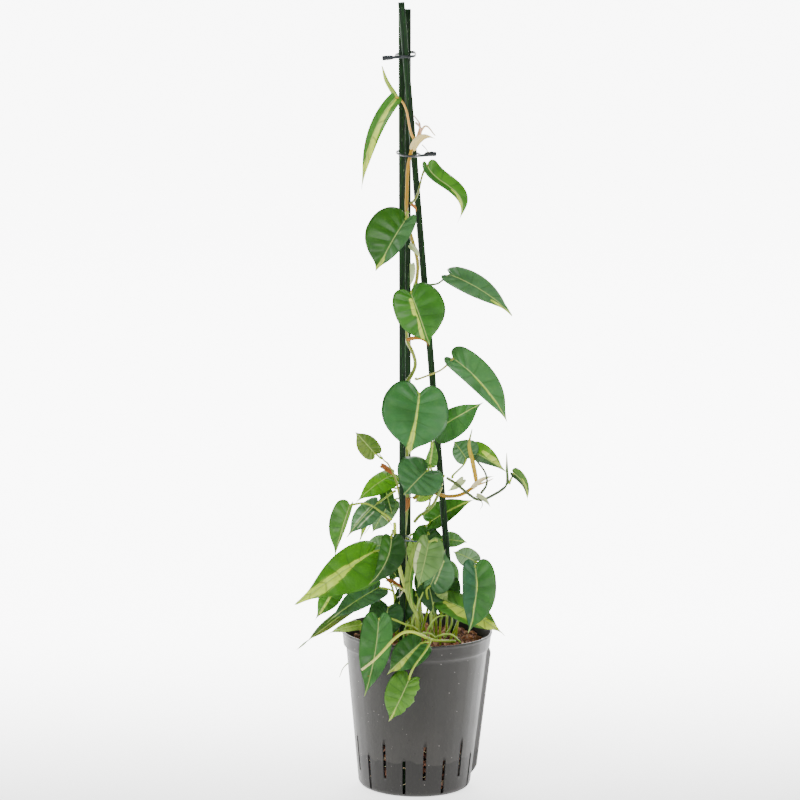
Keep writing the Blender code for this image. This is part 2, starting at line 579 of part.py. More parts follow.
def leaf_grid(joint, tip, facing, widths, shape, rows, columns):
    """Points of a blade on a grid: rows run from petiole to tip, columns from left margin to right.

    Each row is a line from a point on the midrib to a point on the margin, and the midrib's points
    bunch at the petiole, so the rows there fan round the basal lobes. The midrib is bent by an arch,
    a sideways bow and a curl at the tip, and the blade stands square to it, folded and cupped across.
    """
    arch, bow, fold, cup, curl, roundness = shape
    joint = raised(joint)
    tip = raised(tip)
    length = np.linalg.norm(tip - joint)
    axis = (tip - joint) / length
    normal = np.array(facing, float)
    normal -= axis * (normal @ axis)
    normal /= np.linalg.norm(normal)
    across = np.cross(normal, axis)
    share = np.linspace(0, 1, rows)
    edge = outline_at(share, roundness)
    edge[:, 0] = np.where(edge[:, 0] < 0, edge[:, 0] * lobe_share(widths, length), edge[:, 0])
    rib = np.clip(share, 0, 1) ** 1.7
    out = np.concatenate([-np.linspace(1, 0, columns)[:-1], np.linspace(0, 1, columns)])
    part = np.abs(out)[None, :]
    along = rib[:, None] * (1 - part) + edge[:, :1] * part
    beside = edge[:, 1:] * part * np.sign(out)[None, :]
    aside = beside * np.where(out < 0, widths[0], widths[1])[None, :] * MM
    on_rib = np.clip(along, 0, 1)[..., None]
    tail = np.clip((on_rib - 0.7) / 0.3, 0, 1)
    lean = (across * bow + normal * arch) * MM
    place = joint + axis * length * on_rib + lean * 4 * on_rib * (1 - on_rib) + normal * curl * MM * tail**2
    ahead = axis * length + lean * 4 * (1 - 2 * on_rib) + normal * curl * MM * 2 * tail / 0.3
    ahead /= np.linalg.norm(ahead, axis=-1, keepdims=True)
    sideways = across - ahead * (ahead @ across)[..., None]
    sideways /= np.linalg.norm(sideways, axis=-1, keepdims=True)
    outward = np.cross(ahead, sideways)
    rise = fold * np.abs(aside) + cup * np.abs(beside * aside)
    points = (place + ahead * ((along - on_rib[..., 0]) * length)[..., None]
              + sideways * aside[..., None] + outward * rise[..., None])
    return points, outward


def blade(name, row, group):
    """A leaf blade as one closed body, thickest at the midrib and sharp at its margin."""
    grid, outward = leaf_grid(*row[:5], LEAF_ROWS, LEAF_COLUMNS)
    rows, across = grid.shape[:2]
    middle = grid[1:-1, 1:-1].copy()
    lift = outward[1:-1, 1:-1] * LEAF_THICKNESS / 2
    upper = np.arange(rows * across).reshape(rows, across)
    upper[0, :] = upper[0, 0]
    upper[-1, :] = upper[-1, 0]
    lower = upper.copy()
    lower[1:-1, 1:-1] = rows * across + np.arange(middle.shape[0] * middle.shape[1]).reshape(
        middle.shape[:2])
    grid[1:-1, 1:-1] += lift
    points = np.vstack([grid.reshape(-1, 3), (middle - lift).reshape(-1, 3)])
    faces = []
    for index, order in ((upper, 1), (lower, -1)):
        quads = np.stack([index[:-1, :-1], index[1:, :-1], index[1:, 1:], index[:-1, 1:]], -1)
        for quad in quads.reshape(-1, 4)[:, ::order]:
            corners = list(dict.fromkeys(quad.tolist()))
            faces += [corners[:3], [corners[0], *corners[2:]]] if len(corners) == 4 else [corners]
    used = np.unique(np.concatenate([np.array(face) for face in faces]))
    renumber = {int(old): new for new, old in enumerate(used)}
    return mesh_object(name, points[used], triangles(faces, renumber), group)


def triangles(faces, renumber):
    return [[renumber[corner] for corner in face] for face in faces]


def make_leaf(name, row, group, helpers):
    body = blade(name, row, group)
    joint = np.array(row[0], float)
    petiole = tube(name + "_petiole", np.vstack([joint[None, :], np.array(row[5], float)]),
                   (PETIOLE_RADIUS / MM, PETIOLE_RADIUS / MM), helpers, steps=1)
    body = cut(body, petiole, "UNION")
    if name not in SPEARS:
        return body
    radii, way = SPEARS[name]
    return cut(body, tube(name + "_spear", way, radii, helpers), "UNION")


def make_vine(name, runs, group, helpers):
    pieces = [tube(name, runs[0][1], runs[0][0], group)]
    pieces += [tube(f"{name}_run", way, radii, helpers) for radii, way in runs[1:]]
    return joined(pieces)


def build():
    clear_scene()
    group = new_collection("potted_climber")
    helpers = new_collection("cutters", helpers=True)
    plastic = finish("pot_plastic", (0.12, 0.12, 0.115), 0.5)
    shade(make_pot(group, helpers), plastic, False)
    shade(make_substrate(group, helpers), finish("substrate_chips", (0.22, 0.1, 0.06), 0.95), False)
    shade(make_root_ball(group), finish("root_ball_peat", (0.06, 0.04, 0.025), 0.95), False)
    dyed = finish("stake_dyed_cane", (0.03, 0.09, 0.045), 0.6)
    for name, (top, bottom) in STAKES.items():
        shade(stake(name, top, bottom, 0.0, group), dyed, False)
    wire = finish("tie_plastic", (0.012, 0.02, 0.022), 0.4)
    for name, (radius, loop, tail) in TIES.items():
        shade(make_tie(name, radius, loop, tail, group, helpers), wire, True)
    stem = finish("stem_skin", (0.45, 0.55, 0.2), 0.5)
    for name, runs in VINES.items():
        shade(make_vine(name, runs, group, helpers), stem, True)
    green = finish("leaf_skin", (0.1, 0.28, 0.09), 0.4)
    for name, row in LEAVES.items():
        shade(make_leaf(name, row, group, helpers), green, True)


build()
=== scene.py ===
"""A variegated heart-leaf climber in a slotted culture pot, as a set of mesh surfaces and materials.

Lengths in the tables are millimetres; everything that reaches Blender is in metres. The front of the
plant faces -Y and Z is up. Each piece is a surface worked out on a grid: a leaf blade, a round stem
carried along a path, or the pot's wall over angle and height.
"""

import math

import bpy
import numpy as np
from bpy.props import FloatProperty, FloatVectorProperty, IntProperty, PointerProperty
from mathutils import Matrix, Vector


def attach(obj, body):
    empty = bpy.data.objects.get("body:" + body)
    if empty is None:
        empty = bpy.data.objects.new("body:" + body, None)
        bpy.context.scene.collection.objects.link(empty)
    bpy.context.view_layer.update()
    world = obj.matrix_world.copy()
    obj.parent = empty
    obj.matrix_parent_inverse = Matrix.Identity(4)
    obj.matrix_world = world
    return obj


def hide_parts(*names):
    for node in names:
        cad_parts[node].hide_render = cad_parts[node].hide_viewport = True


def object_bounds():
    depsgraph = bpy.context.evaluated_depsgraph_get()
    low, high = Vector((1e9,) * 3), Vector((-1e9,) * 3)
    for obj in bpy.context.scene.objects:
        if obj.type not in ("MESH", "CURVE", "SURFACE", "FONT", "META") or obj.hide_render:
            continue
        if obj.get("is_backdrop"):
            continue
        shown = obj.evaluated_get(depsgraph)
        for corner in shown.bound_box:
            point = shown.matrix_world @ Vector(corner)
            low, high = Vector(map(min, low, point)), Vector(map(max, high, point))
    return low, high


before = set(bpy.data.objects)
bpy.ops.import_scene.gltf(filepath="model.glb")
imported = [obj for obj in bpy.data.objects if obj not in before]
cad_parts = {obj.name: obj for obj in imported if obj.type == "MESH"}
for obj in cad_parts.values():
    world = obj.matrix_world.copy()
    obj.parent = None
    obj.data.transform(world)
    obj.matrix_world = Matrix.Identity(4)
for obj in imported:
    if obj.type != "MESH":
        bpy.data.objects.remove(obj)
CAD_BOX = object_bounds()

bl_info = {
    "name": "Potted heart-leaf climber",
    "version": (1, 0, 0),
    "blender": (4, 5, 0),
    "location": "View3D > Sidebar > Climber",
    "description": "Builds a variegated climbing plant with its stakes, ties, substrate and culture pot",
    "category": "Add Mesh",
}

MM = 0.001


# ------------------------------------------------------------------ colours and nodes

def linear(hex_colour):
    """An sRGB hex value as linear red, green, blue and an alpha of 1."""
    parts = np.array([int(hex_colour[i:i + 2], 16) for i in (1, 3, 5)]) / 255
    low = parts / 12.92
    high = ((parts + 0.055) / 1.055) ** 2.4
    return (*np.where(parts <= 0.04045, low, high).tolist(), 1.0)


def node(tree, kind, inputs=(), **settings):
    """Adds a shader node with its properties and its sockets' values.

    A socket takes a value, an output to link, or a node, whose first output in use is linked.
    """
    made = tree.nodes.new("ShaderNode" + kind)
    for name, value in settings.items():
        setattr(made, name, value)
    for socket, value in dict(inputs).items():
        if isinstance(value, bpy.types.Node):
            value = next(output for output in value.outputs if output.enabled)
        if isinstance(value, bpy.types.NodeSocket):
            tree.links.new(value, made.inputs[socket])
        else:
            made.inputs[socket].default_value = value
    return made


def new_material(name):
    """(material, its node tree, the Object coordinates), with nothing else in the tree."""
    made = bpy.data.materials.new(name)
    made.use_nodes = True
    made.node_tree.nodes.clear()
    return made, made.node_tree, node(made.node_tree, "TexCoord").outputs["Object"]


def finished(material, shader):
    """The material, with the shader as its surface."""
    node(material.node_tree, "OutputMaterial", {"Surface": shader})
    return material


def tones(*hex_colours):
    """The colours as rows of linear red, green and blue."""
    return np.array([linear(colour)[:3] for colour in hex_colours])


def opaque(colour):
    """A colour setting as red, green, blue and an alpha of 1."""
    return (*colour[:3], 1.0)


# ------------------------------------------------------------------ grids and meshes

class Shell:
    """One closed surface: its points, its four- and three-sided faces, and values at its points."""

    def __init__(self, points, quads, triangles, slot=0, **values):
        self.points = np.asarray(points, float).reshape(-1, 3)
        self.quads = np.asarray(quads, int).reshape(-1, 4)
        self.triangles = np.asarray(triangles, int).reshape(-1, 3)
        self.slot = slot
        self.values = values


def make_piece(name, shells, materials, record_slot, replaced=(), flat=False):
    """Joins the shells into one mesh object that rides on the root body."""
    starts = np.cumsum([0] + [len(shell.points) for shell in shells])
    points = np.vstack([shell.points for shell in shells])
    quads = np.vstack([shell.quads + start for shell, start in zip(shells, starts)])
    triangles = np.vstack([shell.triangles + start for shell, start in zip(shells, starts)])
    corners = np.concatenate([quads.ravel(), triangles.ravel()]).astype(np.int32)
    first = np.concatenate([4 * np.arange(len(quads)), 4 * len(quads) + 3 * np.arange(len(triangles))])
    slots = np.concatenate([np.full(len(shell.quads), shell.slot) for shell in shells]
                           + [np.full(len(shell.triangles), shell.slot) for shell in shells])
    mesh = bpy.data.meshes.new(name)
    mesh.vertices.add(len(points))
    mesh.vertices.foreach_set("co", points.astype(np.float32).ravel())
    mesh.loops.add(len(corners))
    mesh.loops.foreach_set("vertex_index", corners)
    mesh.polygons.add(len(first))
    mesh.polygons.foreach_set("loop_start", first.astype(np.int32))
    mesh.polygons.foreach_set("material_index", slots.astype(np.int32))
    mesh.polygons.foreach_set("use_smooth", np.full(len(first), not flat))
    for key in sorted({key for shell in shells for key in shell.values}):
        put_values(mesh, key, shells, corners)
    mesh.update(calc_edges=True)
    mesh.validate()
    for material in materials:
        mesh.materials.append(material)
    obj = bpy.data.objects.new(name, mesh)
    bpy.context.scene.collection.objects.link(obj)
    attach(obj, "root")
    if replaced:
        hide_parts(*replaced)


def put_values(mesh, key, shells, corners):
    """Stores a value of the shells' points: a UV map if the key is "way", else an attribute."""
    width = max(np.asarray(shell.values[key]).reshape(len(shell.points), -1).shape[1]
                for shell in shells if key in shell.values)
    rows = [np.asarray(shell.values[key], float).reshape(len(shell.points), -1) if key in shell.values
            else np.zeros((len(shell.points), width)) for shell in shells]
    rows = np.vstack(rows)
    if key == "way":
        mesh.uv_layers.new(name="way").data.foreach_set("uv", rows[corners].astype(np.float32).ravel())
    elif width == 1:
        mesh.attributes.new(key, "FLOAT", "POINT").data.foreach_set("value", rows.astype(np.float32).ravel())
    else:
        full = np.hstack([rows, np.ones((len(rows), 1))]).astype(np.float32)
        mesh.attributes.new(key, "FLOAT_COLOR", "POINT").data.foreach_set("color", full.ravel())


def smooth_path(points, steps, closed=False):
    """Catmull-Rom through the points, with the given number of steps to each span."""
    knots = np.asarray(points, float)
    if closed:
        knots = np.vstack([knots[-1:], knots, knots[:2]])
    else:
        knots = np.vstack([2 * knots[0] - knots[1], knots, 2 * knots[-1] - knots[-2]])
    share = np.linspace(0, 1, steps, endpoint=False)[None, :, None]
    a, b, c, d = (knots[i:len(knots) - 3 + i, None, :] for i in range(4))
    path = 0.5 * (2 * b + (c - a) * share + (2 * a - 5 * b + 4 * c - d) * share**2
                  + (3 * b - a - 3 * c + d) * share**3)
    path = path.reshape(-1, knots.shape[1])
    return path if closed else np.vstack([path, knots[-2:-1]])


def ring_grid(rows, columns):
    """Point numbers of a grid whose last column is its first one again."""
    index = np.arange(rows * columns).reshape(rows, columns)
    return np.hstack([index, index[:, :1]])


def grid_quads(index):
    """The quads between neighbouring points of a grid of point numbers."""
    return np.stack([index[:-1, :-1], index[:-1, 1:], index[1:, 1:], index[1:, :-1]], -1)


def end_fans(index, centre):
    """Triangles that close a ring grid: its first row to one point, its last row to the next."""
    sides = index.shape[1] - 1
    near = np.stack([index[0, 1:], index[0, :-1], np.full(sides, centre)], -1)
    far = np.stack([index[-1, :-1], index[-1, 1:], np.full(sides, centre + 1)], -1)
    return np.vstack([near, far])


def around(radius, turn, height):
    """Points at a radius and a height, turned about Z from the front."""
    return np.stack(np.broadcast_arrays(radius * np.sin(turn), -radius * np.cos(turn), height), -1)


def unit(vectors):
    """The vectors scaled to a length of 1."""
    return vectors / np.maximum(np.linalg.norm(vectors, axis=-1, keepdims=True), 1e-12)


def sweep(points, radii, colours=("#808080",), steps=6, sides=12, flat=1.0, facing=(0.12, 1.0, 0.15),
          closed=False, twist=0.0, ridge=0.0, slot=0, sway=(0.0, 0.0, 0.0)):
    """A tapered rod along a smooth path, both in millimetres.

    Each ring is the path's point plus radius times cosine along one side direction and radius times
    sine, flattened, along the other. The radii and the colours spread evenly over the path. A ridge
    swells the ring once round, turned by the twist on the way, as on a rolled leaf. The sway bends an
    open path one way and back by a whole sine wave.
    """
    path = smooth_path(points, steps, closed)
    count = len(path)
    place = np.linspace(0, 1, count)
    path = path + np.sin(2 * math.pi * place)[:, None] * np.array(sway)
    radius = np.interp(place, np.linspace(0, 1, len(radii)), radii)
    ahead = np.roll(path, -1, 0) - np.roll(path, 1, 0) if closed else np.gradient(path, axis=0)
    ahead = unit(ahead)
    side = unit(np.cross(np.array(facing, float), ahead))
    front = np.cross(ahead, side)
    turn = np.linspace(0, 2 * math.pi, sides, endpoint=False)
    swell = 1 + ridge * np.cos(turn[None, :] + twist * place[:, None])
    wide = (radius[:, None] * swell)[..., None]
    rings = (path[:, None, :] + side[:, None, :] * wide * np.cos(turn)[None, :, None]
             + front[:, None, :] * wide * flat * np.sin(turn)[None, :, None])
    index = ring_grid(count, sides)
    if closed:
        index = np.vstack([index, index[:1]])
    tints = tones(*colours)
    tint = np.stack([np.interp(place, np.linspace(0, 1, len(tints)), tints[:, i]) for i in range(3)], -1)
    tint = np.repeat(tint, sides, 0)
    points = rings.reshape(-1, 3)
    triangles = np.empty((0, 3), int)
    if not closed:
        ends = np.array([path[0] - ahead[0] * radius[0] * 0.5, path[-1] + ahead[-1] * radius[-1] * 0.5])
        points = np.vstack([points, ends])
        tint = np.vstack([tint, tint[:1], tint[-1:]])
        triangles = end_fans(index, count * sides)
    return Shell(points * MM, grid_quads(index), triangles, slot, tint=tint)


# ------------------------------------------------------------------ leaves

# Half outlines of a leaf, from the petiole round the basal lobe to the drip tip, for a round leaf and
# a long one: share of the length from petiole to tip, share of the half width
ROUND_OUTLINE = (
    (0.00, 0.00), (-0.05, 0.07), (-0.12, 0.22), (-0.15, 0.45), (-0.10, 0.72), (0.05, 0.93), (0.24, 1.00),
    (0.44, 0.97), (0.62, 0.80), (0.76, 0.52), (0.855, 0.23), (0.925, 0.08), (1.00, 0.00),
)
LONG_OUTLINE = (
    (0.00, 0.00), (-0.06, 0.10), (-0.12, 0.30), (-0.13, 0.55), (-0.07, 0.80), (0.05, 0.95), (0.20, 1.00),
    (0.37, 0.92), (0.53, 0.72), (0.67, 0.45), (0.79, 0.20), (0.89, 0.07), (1.00, 0.00),
)
NARROW_SHARE = 0.6  # a blade narrower than this share of its length has shorter lobes
LEAF_THICKNESS = 0.4
SHEATH_THICKNESS = 0.5
STALK_SWAY = 0.055  # a stalk's sideways swing, as a share of its reach
SWAY_STEP = 2.4  # radians between one stalk's swing and the next one's
LEAF_ROWS = 53
LEAF_COLUMNS = 13
VEINS = 8


def leaf(joint, tip, facing, widths, shape, petiole, ground, streaks=(), cream="#dcec5c", stem="#93ac34",
         wave=1.1, skin=0, late=0.0, twist=0.0, bitten=None, lobes=1.0):
    """One leaf's row. Lengths in millimetres.

    shape is arch, sideways bow, fold, cup, tip curl and roundness. ground is the colour left and right
    of the midrib. A streak is a run of (share of the length, millimetres beside the midrib, half
    width) points that the pale colour fills. late moves the bow's deepest place towards the tip,
    twist turns the blade about its midrib on the way to the tip, in degrees, bitten is the stretch of
    the right margin that was eaten, as two shares of the outline, and lobes lengthens the basal lobes.
    """
    return locals()


GREY = "#5f8d63"
DEEP = "#2f6b1f"
FRESH = "#4f8f22"
BRIGHT = "#6aa51e"
SAGE = "#7fa07a"
LIME = "#b8d878"
DARK = "#1f4a22"

LEAVES = {
    "leaf_01": leaf((-38, -25, 830), (-78, -40, 722), (0, -1, 0.1), (8, 9), (4, -10, 0.35, 0, 0, 0.5),
        ((-33, -24, 824), (-24, -24, 809), (-17, -24, 790), (-15, -22, 780)), ("#3f7f22", "#4f8a24"),
        (((0.02, 2, 0.8), (0.3, 3, 2.4), (0.6, 2.5, 3.4), (0.85, 0, 2.4), (1, 0, 0.6)),), stem="#cf9a34",
        late=-0.3),
    "leaf_02": leaf((1, -17, 750), (34, -48, 686), (0.1, -0.9, 0.4), (7, 14), (5, 12, 0, 0, 0, 0.9),
        ((-2, -16, 739), (-8, -17, 723), (-15, -21, 711), (-19, -22, 705)), (DEEP, FRESH),
        (((0.5, -1.5, 0.4), (0.8, -2, 2.2), (0.98, 0, 0.9)),), stem="#6f7a35", late=1.3),
    "leaf_03": leaf((-25, -33, 688), (-61, -56, 629), (-0.3, -0.9, 0.3), (37, 15), (5, 0, 0, -0.12, 4, 1),
        ((-23, -29, 694), (-22, -26, 696)), ("#2b6215", "#4a7a48"),
        (((0.68, 0.5, 0.6), (0.78, 1, 1.9), (0.93, 0.5, 1.8), (1, 0, 0.6)),)),
    "leaf_04": leaf((-18, -38, 602), (3, -58, 543), (0.1, -1, 0.1), (26, 34), (5, 0, -0.1, -0.1, 4, 1),
        ((-15, -30, 607), (-11, -16, 610), (-10, -13, 609)), ("#3f7d24", "#3c7a26"),
        (((0.4, -2.5, 0.5), (0.62, -4, 1.6), (0.84, -5, 2.4), (0.9, -4, 0.6)),
        ((0.12, -3, 2), (0.38, -5, 2.4)))),
    "leaf_05": leaf((30, -18, 621), (102, -48, 578), (0.25, -0.75, 0.6), (14, 20), (6, 1, -0.15, 0, -3, 0.8),
        ((24, -18, 615), (16, -16, 610), (4, -14, 608), (-4, -11, 609)), ("#4f7a52", "#507f54"),
        (((0.66, -4, 1.2), (0.85, -2.5, 1.7), (1, 0, 0.5)),), stem="#56703a"),
    "leaf_06": leaf((35, -22, 522), (98, -52, 451), (0.1, -0.95, 0.3), (13, 22), (6, 5, -0.1, 0, -4, 0.95),
        ((20, -20, 509), (8, -16, 501), (-3, -12, 495), (-8, -10, 496)), ("#457a48", "#4a804a"),
        (((0.3, -0.5, 0.3), (0.6, -1, 1), (0.85, 0, 0.5)),), stem="#a8a648"),
    "leaf_07": leaf((-7, -46, 484), (-20, -68, 415), (0.05, -1, 0.12), (41, 39), (6, 0, -0.05, -0.1, 4, 1),
        ((-11, -40, 489), (-16, -24, 491), (-18, -15, 489)), ("#38733c", "#3f7a42"),
        (((0, 0.5, 1), (0.45, 0.5, 1.4), (0.75, -0.5, 2.9), (0.94, -1.5, 3.4), (1, 0, 1)),), lobes=1.3),
    "leaf_08": leaf((16, -22, 436), (72, -28, 471), (0, -0.9, 0.4), (21, 14), (5, 0, -0.1, 0, 0, 0.6),
        ((13, -18, 426), (9, -15, 399), (7, -10, 372)), ("#2f6a2c", "#3f7c34"),
        (((0.4, 0, 0.1), (0.9, 0, 0.3)),)),
    "leaf_09": leaf((54, -13, 400), (39, -6, 420), (0, -0.9, 0.3), (21, 12), (2, 0, -0.1, 0, 0, 1),
        ((48, -14, 391), (40, -18, 382), (37, -20, 378)), (GREY, "#6f9a73")),
    # leaf_10 is folded along its midrib: its bright ground is the lit upper half and its grey-green ground
    # the shaded lower half with a painted sheen, so the two are painted light and shade
    "leaf_10": leaf((60, 5, 407), (99, -38, 389), (0.1, -0.9, 0.4), (10, 14), (3, 0, 0.2, 0, 0, 0.5),
        ((68, 0, 398), (75, -14, 386), (75, -21, 372), (71, -22, 360)), ("#55705a", BRIGHT),
        (((0.3, 5, 2), (0.6, 4, 3.2), (0.85, 1, 1)),), stem="#3f4f2c"),
    "leaf_11": leaf((108, -30, 386), (125, -36, 354), (0.5, -0.85, 0.1), (5, 9), (3, 4, 0, 0, 0, 0.2),
        ((107, -29, 381), (104, -27, 372)), ("#1c2c1a", "#5f8a3c"), (((0.3, 2, 0.6), (0.9, 0.5, 0.6)),)),
    "leaf_12": leaf((4, -42, 391), (-26, -66, 366), (0, -0.9, 0.5), (31, 27), (4, 0, -0.08, 0.06, 3, 0.75),
        ((11, -37, 388), (21, -29, 377), (24, -25, 371)), ("#3f6f42", "#46784a"), lobes=2.2),
    "leaf_13": leaf((9, -30, 395), (13, -26, 428), (0.2, -0.9, 0), (8, 7), (3, 0, 0, 0, 0, 0.2),
        ((16, -28, 385), (27, -24, 381)), ("#5a9030", "#6aa040"), (((0.1, 1, 1), (0.8, 1, 1)),)),
    "leaf_14": leaf((-56, -20, 408), (-79, -14, 433), (0, -1, 0.2), (12, 13), (3, 0, -0.1, 0, 0, 0.8),
        ((-50, -18, 403), (-46, -16, 401)), ("#5f7a2c", "#6f8632"), cream="#b9b56a"),
    "leaf_15": leaf((-30, 9, 377), (-79, -24, 348), (-0.1, -0.8, 0.6), (12, 16), (8, 0, -0.1, 0, 0, 0.5),
        ((-25, 5, 372), (-19, 3, 366), (-15, -2, 363)), (BRIGHT, "#5a9a20"), skin=1),
    "leaf_16": leaf((-53, -32, 350), (-90, -50, 313), (-0.2, -0.8, 0.6), (14, 14), (4, 0, -0.1, 0, 0, 0.5),
        ((-47, -28, 353), (-38, -22, 358), (-30, -16, 362)), ("#5f8a62", "#3f6a44"),
        (((0.1, -3, 0.8), (0.7, -2, 1)), ((0.2, 5, 0.8), (0.7, 4, 0.8))), cream="#a9bfa0"),
    "leaf_17": leaf((-86, -42, 350), (-104, -56, 292), (-0.3, -0.9, 0.1), (18, 4), (4, 0, 0, 0, 0, 0.8),
        ((-73, -42, 352), (-61, -43, 349), (-49, -45, 343), (-40, -46, 338), (-37, -46, 333)),
        ("#4a8528", "#6a9a30")),
    "leaf_18": leaf((-39, 10, 357), (-31, 6, 328), (-0.2, -1, 0.1), (9, 8), (2, 0, 0, 0, 0, 0.8),
        ((-34, 8, 361), (-23, 2, 360), (-19, -3, 358)), (DARK, "#2f5f2c")),
    "leaf_19": leaf((-32, 24, 340), (-54, 20, 303), (-0.3, -0.9, 0.3), (14, 14), (3, 0, 0, 0, 0, 0.8),
        ((-26, 17, 346), (-19, 4, 346), (-17, -3, 343)), (SAGE, "#7a9a78")),
    "leaf_20": leaf((-66, -25, 330), (-73, -28, 303), (0.3, -0.9, 0.1), (4, 4), (2, 0, 0, 0, 0, 0),
        ((-60, -25, 337), (-50, -30, 338), (-39, -40, 331)), ("#a8b83a", "#c8d05a"), skin=1),
    "leaf_21": leaf((-30, 28, 287), (-66, 24, 283), (-0.2, -0.8, 0.6), (14, 14), (3, 0, 0, 0, 0, 0.7),
        ((-26, 22, 294), (-20, 2, 302), (-18, -7, 306)), (SAGE, "#6f9570")),
    "leaf_22": leaf((-59, -60, 298), (-154, -98, 242), (-0.1, -0.75, 0.65), (24, 34),
        (8, 2, -0.1, 0, 2, 0.3), ((-52, -58, 299), (-42, -52, 297), (-36, -49, 294)), ("#4f8f1c", "#47851c"),
        (((0, 0, 1), (0.25, -1, 2.6), (0.45, 1, 6), (0.68, 2, 8), (0.88, 0, 4.5), (1, 0, 1.5)),), skin=1,
        wave=2.4),
    # leaf_23 lies in shade, and its dark greens are painted shade
    "leaf_23": leaf((-38, -60, 314), (-68, -94, 264), (-0.2, -0.95, 0.2), (12, 19), (4, 7, -0.1, 0, 4, 0.4),
        ((-37, -55, 318), (-35.5, -50, 321)), ("#3a7320", "#20481a"), wave=1.5),
    "leaf_24": leaf((-51, -52, 253), (-114, -78, 217), (-0.2, -0.8, 0.6), (16, 16), (5, 0, 0.1, 0, 0, 0.2),
        ((-38, -48, 250), (-32, -39, 240), (-29, -29, 222), (-20, -22, 200), (-14, -20, 180)),
        ("#466f50", "#557c5c"), (((0.5, 0, 0.3), (0.9, 0, 0.9)),), cream="#b8c8a8"),
    "leaf_25": leaf((-84, -38, 224), (-149, -64, 181), (-0.2, -0.8, 0.6), (9, 8), (8, 3, 0.1, 0, 0, 0),
        ((-72, -32, 232), (-45, -24, 230), (-24, -16, 200), (-20, -13, 178)), ("#47692a", "#6f7c30"),
        (((0.2, 0, 0.4), (0.9, 0, 0.5)),), cream="#a9ad50", wave=1.6, twist=50),
    "leaf_26": leaf((-102, -40, 251), (-126, -52, 214), (0, -0.9, 0.4), (12, 14), (3, 0, 0, 0, 0, 0.2),
        ((-95, -36, 256), (-72, -26, 262), (-40, -14, 250), (-24, -6, 178)), ("#4c8a24", "#3f7424"),
        (((0.2, 1, 1.5), (0.8, 1, 1.2)),)),
    "leaf_27": leaf((-40, -55, 230), (-49, -66, 190), (0, -0.9, 0.5), (22, 20), (4, 0, 0.1, 0, 0, 0.7),
        ((-36, -50, 232), (-31, -44, 226), (-29, -36, 205), (-22, -28, 178)), (DARK, "#24502a"),
        (((0.1, 0, 0.4), (0.8, 0, 0.4)),), cream="#7fa05a"),
    "leaf_28": leaf((-54, -88, 223), (-72, -115, 136), (-0.1, -1, 0.15), (20, 18), (5, 3, -0.1, 0, 3, 0.75),
        ((-45, -84, 224), (-35, -78, 220), (-23, -68, 213), (-8, -52, 203), (2, -40, 180)),
        ("#38722e", "#457f3c")),
    "leaf_29": leaf((-74, -70, 212), (-114, -78, 203), (0, -0.8, 0.6), (7, 7), (5, 0, 0, 0, 0, 0),
        ((-66, -64, 213), (-58, -54, 206), (-36, -38, 178)), ("#8fa848", "#a3b860"), skin=1),
    "leaf_30": leaf((-5, -94, 195), (-46, -113, 162), (-0.1, -0.85, 0.5), (19, 19), (4, 0, -0.05, 0, 0, 0.5),
        ((1, -91, 196), (6, -88, 196)), ("#2c5f24", "#2f6628"), (((0, 0, 0.6), (0.35, 2, 1.6), (0.7, 3, 3.4),
        (0.95, 1, 2)),), cream="#b9cf50"),
    "leaf_31": leaf((-19, -108, 155), (-43, -116, 106), (0, -1, 0.1), (21, 22), (4, 0, -0.1, 0, 0, 0.8),
        ((-15, -113, 163), (-10, -115, 176), (-3, -110, 189), (3, -98, 198), (5, -90, 200)),
        ("#568a2a", "#5f942e"), (((0.6, 0, 0.3), (0.85, 0.5, 1.4), (1, 0, 0.8)),), bitten=(0.25, 0.93)),
    "leaf_32": leaf((6, -61, 310), (-8, -78, 257), (0.1, -0.95, 0.3), (14, 22), (5, 0, -0.15, 0, 0, 0.8),
        ((11, -55, 312), (15, -42, 296), (16, -30, 250), (17, -20, 178)), ("#86a862", "#7aa45c"),
        (((0.1, -10, 2.2), (0.5, -11, 2.4), (0.8, -7, 1.4)),), skin=1, cream="#e6ecbb"),
    "leaf_33": leaf((0, -50, 305), (0, -64, 208), (-0.4, -0.9, 0.1), (7, 6), (4, -15, 0.3, 0, 0, 0.3),
        ((3, -45, 308), (3, -37, 296), (1, -32, 250), (1, -26, 178)), ("#b5cc6a", "#4f8a26"),
        (((0, 0, 0.6), (0.9, 0, 1)),), skin=1),
    "leaf_34": leaf((10, -48, 254), (26, -54, 300), (0.1, -1, 0.1), (24, 9), (4, 0, 0, 0, 3, 0.8),
        ((9, -46, 248), (10, -41, 232), (13, -34, 214), (12, -28, 178)), ("#4c7a4c", "#5a8a58"),
        (((0.1, -4, 0.8), (0.7, -3, 1.4)),), cream="#bfd08a"),
    "leaf_35": leaf((70, 12, 270), (43, 18, 281), (0.1, -0.9, 0.4), (12, 12), (3, 0, 0, 0, 0, 1),
        ((67, 8, 262), (60, -2, 225), (46, -6, 178)), (SAGE, "#8fae88")),
    "leaf_36": leaf((63, -50, 277), (52, -82, 203), (0.1, -1, 0.2), (17, 25), (4, 4, -0.1, 0, 0, 0.8),
        ((62, -43, 280), (58, -28, 261), (48, -18, 222), (38, -14, 178)), ("#38684a", "#3f7a34"),
        (((0, 0, 0.2), (0.3, 1.2, 0.4), (0.6, -1.2, 0.5), (0.8, 0.8, 0.5), (1, 0, 0.4)),)),
    "leaf_37": leaf((30, -42, 235), (99, -66, 197), (0.1, -0.6, 0.8), (22, 21), (5, 0, 0, 0, 0, 0.4),
        ((27, -38, 230), (25, -34, 212), (25, -30, 178)), ("#4a8526", "#5a9030"),
        (((0, -4, 2), (0.28, -8, 7), (0.55, -4, 9), (0.85, -1, 4.5), (1, 0, 1)),)),
    "leaf_38": leaf((20, -40, 250), (32, -46, 234), (0.1, -1, 0.1), (7, 7), (2, 0, 0, 0, 0, 0.8),
        ((20, -36, 252), (22, -28, 236), (22, -20, 178)), (LIME, "#c8e08a"), skin=1),
